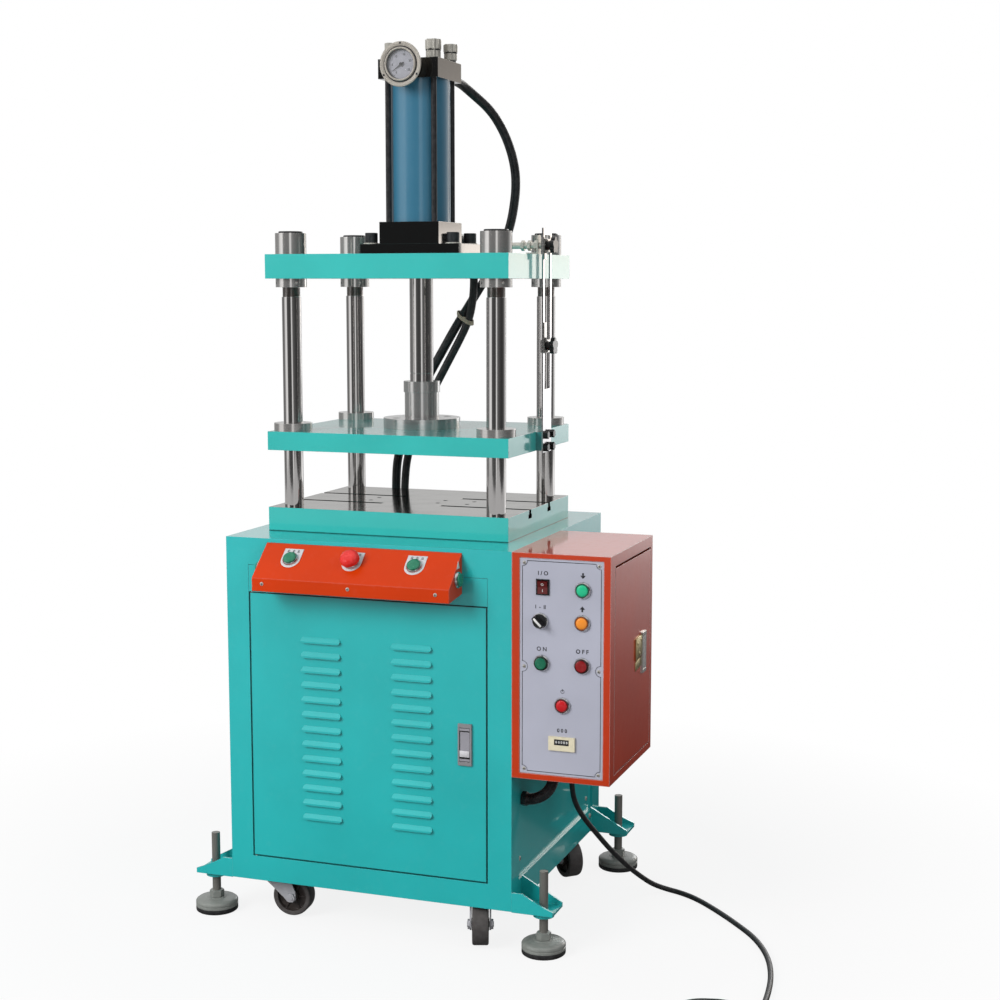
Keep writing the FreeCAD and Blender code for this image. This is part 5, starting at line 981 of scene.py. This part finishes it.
BLOCK_TOP = 1610.0
fittings = Shape()
for x, y, across, high in ((27.0, 0.0, 26.0, 40.0), (50.0, 30.0, 23.0, 33.0)):
    joint = BLOCK_TOP + 2.5 + high * 0.45
    at = moved(x, y, 0)
    fittings.finish = 0
    fittings.nut(across + 0.5, joint + 0.8, BLOCK_TOP + high, at)
    fittings.nut(across - 1.5, BLOCK_TOP + 3.2, joint - 0.8, at)
    fittings.finish = 1
    fittings.nut(across - 0.4, joint - 0.9, joint + 0.9, at)
    for radius, low, top in ((across * 0.56, joint - 0.7, joint + 0.7),
                             (across / 2 - 1.2, BLOCK_TOP, BLOCK_TOP + 3.2)):
        fittings.spun([(0, low), (radius, low), (radius, top), (0, top)], at, 40)
fittings.finish = 0
fittings.nut(17.0, BLOCK_TOP + 21, BLOCK_TOP + 34, moved(-53.0, -20.0, 0))
fittings.piece("top_fitting_nuts", (zinc, dark_steel), "cabinet", "zinc")

# Label plates, bezels, rocker frame, counter and lamps

labels = Shape()
label_marks = Shape()
LABEL_RADIUS = 18.6
for x in BUTTONS_X:
    outer = [polar(LABEL_RADIUS, radians(a)) for a in range(180, 361, 10)]
    labels.bar(outer + [(LABEL_RADIUS, 25), (-LABEL_RADIUS, 25)], 0, 0.8, on_slope(x), ease=0.15)
    for offset in (-10, 0, 10):
        spot = on_slope(x, 0.8) @ moved(offset, 20.0, 0)
        label_marks.spun([(1.0, 0), (1.0, 0.06), (2.1, 0.06), (2.1, 0)], spot, 16, ring=True)
        label_marks.block(-2.8, 2.8, -3.3, -2.4, 0, 0.06, spot)
labels.piece("label_plates", (label_metal,), "cabinet", "panel_grey")
label_marks.piece("label_marks", (ink_and_shade,), "cabinet", "panel_grey")

bezels = Shape()
BEZEL = [(5.05, 0.05), (5.05, -21.5), (10.3, -21.5), (10.3, 0), (14.75, 0), (14.75, 2.2), (14.3, 3.4),
         (13.4, 4.5), (12.9, 5.0), (12.3, 4.8), (12.3, 0.05)]
places = [on_slope(x, 0.8) for x in BUTTONS_X] + [on_end(side) for side in SIDES]
places += [on_control(name) for name in ("down", "up", "power", "mode", "start", "stop")]
for place in places:
    bezels.spun(BEZEL, place, 64, ring=True)
bezels = bezels.piece("button_bezels", (bright_chrome,), "cabinet", "bezel_chrome")
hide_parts("button_trims")

frames = Shape()
rocker_place = on_control("switch")
for x0, x1, y0, y1 in ((-12, -9.4, -14, 14), (9.4, 12, -14, 14), (-12, 12, -14, -12.2), (-12, 12, 12.2, 14)):
    frames.block(x0, x1, y0, y1, 0, 2.5, rocker_place, ease=0.35)
for x0, x1, y0, y1 in ((-11, -9.4, -13, 13), (9.4, 11, -13, 13), (-11, 11, -13, -12.2), (-11, 11, 12.2, 13)):
    frames.block(x0, x1, y0, y1, -20, 1, rocker_place)
count_place = on_control("count")
WINDOW_X, WINDOW_Y = 13.5, (-2.5, 8.0)
frames.finish = 1
for x0, x1 in ((-24, -WINDOW_X), (WINDOW_X, 24)):
    frames.block(x0, x1, -12.5, 12.5, 0, 4, count_place)
for y0, y1 in ((-12.5, WINDOW_Y[0]), (WINDOW_Y[1], 12.5)):
    frames.block(-WINDOW_X, WINDOW_X, y0, y1, 0, 4, count_place)
frames.finish = 0
frames.block(-WINDOW_X, WINDOW_X, *WINDOW_Y, -9, 3.0, count_place)
frames.piece("rocker_and_counter_frames", (black_plastic, cream), "cabinet", "black_plastic")
digits = Shape()
for digit in range(5):
    spot = count_place @ moved(-9.6 + 4.8 * digit, sum(WINDOW_Y) / 2, 3.1)
    digits.finish = 1
    digits.block(-2.1, 2.1, -4.2, 4.2, -0.2, 0.0, spot)
    digits.finish = 0
    digits.letters("0", 5.6, 0.15, spot @ moved(0, 0, 0.08))
digits.piece("counter_digits", (white_paint, ink_and_shade), "cabinet", "black_plastic")

for name, control, lens_colour, glow, rim_colour in (
        ("green", "down", (0.01, 0.50, 0.24), 0.15, (0.002, 0.10, 0.055)),
        ("amber", "up", (0.85, 0.27, 0.02), 0.15, (0.25, 0.055, 0.006)),
        ("red", "power", (0.55, 0.003, 0.008), 0.1, (0.10, 0.003, 0.004))):
    place = on_control(control)
    lens = Shape()
    lens.spun([(0, 3.2), (9.9, 3.2), (9.9, 5.6), (9.2, 6.4), (7.2, 7.2), (3.6, 7.8), (0, 8.0)], place)
    lens.finish = 1
    lens.spun([(0, 0.3), (12.0, 0.3), (12.0, 5.2), (11.2, 5.8), (9.9, 5.0), (0, 5.0)], place)
    finishes = (lamp_glass(name + " lens", lens_colour, glow), lamp_glass(name + " lens rim", rim_colour))
    lens.piece("lamp_lens_" + name, finishes, "cabinet", "lens")
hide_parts("lamp_lenses")

# Line round the face plate with notched corners, and simple marks over the controls

marks = Shape()
face = on_face(*FACE_CENTRE)
LINE = 0.6
HALF_WIDE, HALF_TALL, NOTCH = 71.5, 187.5, 9.5


def stroke(x, z, wide, tall):
    marks.block(x - wide - LINE, x + wide + LINE, z - tall - LINE, z + tall + LINE, 0, 0.05, face)


for sx in SIDES:
    for sz in SIDES:
        stroke(sx * HALF_WIDE, sz * HALF_TALL / 2, 0, HALF_TALL / 2 - NOTCH)
        for centre, inward in ((sz * HALF_TALL, -sz), (0, sz)):
            sweep = []
            for step in range(13):
                angle = step / 12 * pi / 2
                sweep.append(face @ Vector((sx * (HALF_WIDE - NOTCH * cos(angle)),
                                            centre + inward * NOTCH * sin(angle), 0.0)))
            marks.swept(sweep, 0.5, 6)
    stroke(0, sx * HALF_TALL, HALF_WIDE - NOTCH, 0)
for name, way in (("down", -1), ("up", 1)):
    place = over_control(name)
    marks.bar([(-5, 0), (5, 0), (0, way * 6)], 0, 0.05, place)
    marks.block(-1.6, 1.6, 0, -way * 4.5, 0, 0.05, place)
for name, text, size in (("switch", "I / O", 10.0), ("mode", "I  -  II", 9.0), ("start", "O N", 10.0),
                         ("stop", "O F F", 10.0), ("count", "0 0 0", 9.0)):
    marks.letters(text, size, 0.1, over_control(name))
marks.spun([(2.6, 0), (2.6, 0.05), (3.5, 0.05), (3.5, 0)], over_control("power"), 32, ring=True)
marks.block(-0.5, 0.5, 0, 4.6, 0, 0.06, over_control("power"))
marks.piece("face_marks", (ink_and_shade,), "cabinet", "panel_grey")

# White line on the selector, and the rocker's two marks

selector_line = Shape()
spin = on_control("mode") @ Matrix.Rotation(pi / 4, 4, "Z")
selector_line.block(-1.9, 1.9, -9.6, 9.6, 18.9, 19.15, spin, ease=0.1)
selector_line.piece("selector_line", (white_paint,), "selector", "black_plastic")
rocker_marks = Shape()
tilted = rocker_place @ moved(0, 0, -1) @ Matrix.Rotation(radians(8), 4, "X")
tilted = tilted @ moved(0, 0, 1)
slant = atan2(1.8, 11.2)
upper = tilted @ moved(0, 5.6, 3.5) @ Matrix.Rotation(slant, 4, "X")
lower = tilted @ moved(0, -5.6, 3.5) @ Matrix.Rotation(-slant, 4, "X")
rocker_marks.block(-0.5, 0.5, -2.2, 2.2, 0, 0.12, lower)
rocker_marks.spun([(1.5, 0), (1.5, 0.12), (2.3, 0.12), (2.3, 0)], upper, 24, ring=True)
rocker_marks.piece("rocker_marks", (white_paint,), "rocker", "red_cap")

# White triangle above the right end button

sign = Shape()
place = on_end(1) @ moved(4.5, 25.5, 0)
sign.bar([(-7, -6.5), (7, -6.5), (0.5, 7.5)], 0, 0.35, place, ease=0.1)
sign.piece("end_label", (white_paint,), "cabinet", "panel_grey")

# Washers under the cylinder's bolts, rings on their heads, and neck threads of the columns

washers = Shape()
for at in four(83.0, 45.0, 1270.0):
    washers.finish = 0
    washers.spun([(12.2, 0), (15, 0), (15, 1.6), (14.4, 2.2), (12.2, 2.2)], at, 40, ring=True)
    washers.finish = 1
    washers.spun([(7.2, 15.0), (12, 15.0), (12, 20.2), (11.2, 21.2), (7.8, 21.2), (7.2, 20.6)], at, 40,
                 ring=True)
washers.piece("bolt_washers", (zinc, dark_steel), "cabinet", "zinc")
threads = Shape()
for at in four(*COLUMN):
    threads.thread(16.9, 2.0, 1171.5, 1188.8, at, 48)
threads.piece("neck_threads", (neck_steel,), "cabinet", "chrome_rod")

# Black caps on the columns

caps = Shape()
for at in four(*COLUMN):
    caps.spun([(0, 1288), (22.5, 1288), (22.5, 1291.4), (21.6, 1292.4), (0, 1292.6)], at)
caps.piece("column_caps", (black_plastic,), "cabinet", "black_plastic")

# Push plate on the door's paddle, and the stepped plate beside the side door's latch

push = Shape()
push.block(183.4, 201.6, -281.2, -279.6, 357.4, 368.6, ease=0.5)
push.block(185.4, 199.6, -281.6, -281.0, 359.5, 367.0, ease=0.25)
push.piece("door_push_plate", (white_plating,), "door_latch_paddle", "latch_chrome")
step_plate = Shape()
beside = on_side(1, 460.0, -94.0, 0)
step_plate.bar([(-21, 517), (21, 523), (21, 560), (-21, 557)], 0, 3.0, beside, ease=0.6)
step_plate.bar([(-20, 498), (19, 502), (21, 519), (-21, 514)], 0, 1.2, beside, ease=0.3)
for across, up in ((-12, 548), (12, 551), (0, 528)):
    step_plate.screw(beside @ moved(across, up, 3.0), 3.0, 1.4, cross=False)
step_plate.piece("side_door_step_plate", (brass,), "side_door", "latch_brass")


# Studio, whose floor and lamps are placed in metres


def ray(finish, kind):
    return finish.node("LightPath", {}, "Is " + kind + " Ray")


DEGREES = 180 / pi
room = bpy.data.worlds.new("studio")
bpy.context.scene.world = room
sky = Finish("studio", room)
x, y, z = sky.split(sky.node("TexCoord", {}))
azimuth = sky.maths("ARCTAN2", x, 0 - y) * DEGREES
from_back = sky.maths("ARCTAN2", x, y) * DEGREES
height = sky.maths("ARCSINE", z) * DEGREES
walls = sky.profile(
    azimuth, (-180, 0.75), (-150, 0.70), (-130, 0.35), (-100, 0.22), (-75, 0.25), (-62, 0.95), (-40, 1.2),
    (-30, 0.12), (-5, 0.07), (14, 0.09), (19, 1.0), (26, 1.0), (33, 0.2), (50, 0.10), (80, 0.05),
    (110, 0.08), (128, 0.35), (150, 0.92), (153, 0.2), (180, 0.75))
walls = walls * sky.profile(height, (-10, 0.85), (5, 0.80), (9, 1.2), (30, 1.2))
strip = sky.profile(height, (-20, 0.3), (-10, 0.9), (-5.5, 1.2), (-2, 3.0), (1.4, 3.0), (1.8, 1.5), (4, 1.2),
                    (7, 0.7), (14, 0.7), (30, 0.6))
in_strip = from_back.within(13.0, 28.0, 1.5)
rim = from_back.within(-6.0, 20.0, 3.0) * height.within(10.0, 26.0, 2.0)
walls = walls + (strip - walls) * in_strip
walls = walls + rim * 4.0
ceiling = z.clear_of(0.45, 0.8)
reflected = walls + (0.75 - walls) * ceiling
plain = sky.mix((0.36, 0.36, 0.37), (0.44, 0.44, 0.45), z.clear_of(-0.2, 0.8))
warm = sky.node("VectorMath", {0: reflected, 1: (1.0, 0.91, 0.82)}, operation="MULTIPLY")
reflected = sky.mix(reflected, warm, in_strip * height.clear_of(-2.0, 1.0))
level = sky.mix(sky.mix(plain, reflected, ray(sky, "Glossy")), (1.0, 1.0, 1.0),
                sky.either(ray(sky, "Camera"), ray(sky, "Transmission")))
sky.tree.links.new(level.socket, sky.tree.nodes["Background"].inputs["Color"])

floor = Finish("studio floor")
x, y, z = floor.axes()
away = (x * x + y * y) ** 0.5
behind = floor.maths("ARCTAN2", x, y) * DEGREES
dim = floor.profile(away, (900, 0.10), (1800, 0.25), (5000, 0.5), (9000, 0.5))
strip = floor.profile(away, (1000, 0.02), (1400, 0.06), (2400, 0.15), (4300, 0.5), (5300, 1.0), (7500, 1.2))
in_strip = behind.within(12.0, 46.0, 1.5)
mirrored = floor.node("Emission", {"Color": dim + (strip - dim) * in_strip})
pale = floor.node("BsdfDiffuse", {"Color": grey(0.78)})
darker = floor.node("BsdfDiffuse", {"Color": grey(0.35)})
white = floor.node("Emission", {"Color": grey(1.0)})
whitened = floor.profile(away, (0, 0.86), (700, 0.86), (1500, 1.0), (1600, 1.0))
seen = floor.node("MixShader", {0: whitened, 1: pale, 2: white})
shown = floor.node("MixShader", {0: ray(floor, "Camera"), 1: darker, 2: seen})
shown = floor.node("MixShader", {0: ray(floor, "Glossy"), 1: shown, 2: mirrored})
floor.tree.links.new(shown.socket, floor.tree.nodes["Material Output"].inputs["Surface"])
ground_mesh = bpy.data.meshes.new("studio_floor")
ground_mesh.from_pydata([(-7, -7, 0), (7, -7, 0), (7, 7, 0), (-7, 7, 0)], [], [(0, 1, 2, 3)])
ground_mesh.materials.append(floor.material)
ground = placed("studio_floor", ground_mesh)


def lamp(name, at, aim, size, power):
    light = bpy.data.lights.new(name, "AREA")
    light.size = size
    light.energy = power
    made = placed(name, light)
    made.location = at
    made.rotation_euler = (Vector(aim) - Vector(at)).to_track_quat("-Z", "Y").to_euler()
    made.visible_glossy = False


lamp("key light", (-2.2, -4.0, 2.8), (0, 0, 0.8), 2.5, 195)
lamp("fill light", (3.6, -1.6, 2.2), (0, 0, 0.8), 2.5, 26)
lamp("top light", (0.3, 0.6, 4.2), (0, 0, 0.8), 2.6, 15)

bpy.context.scene.view_settings.view_transform = "Standard"
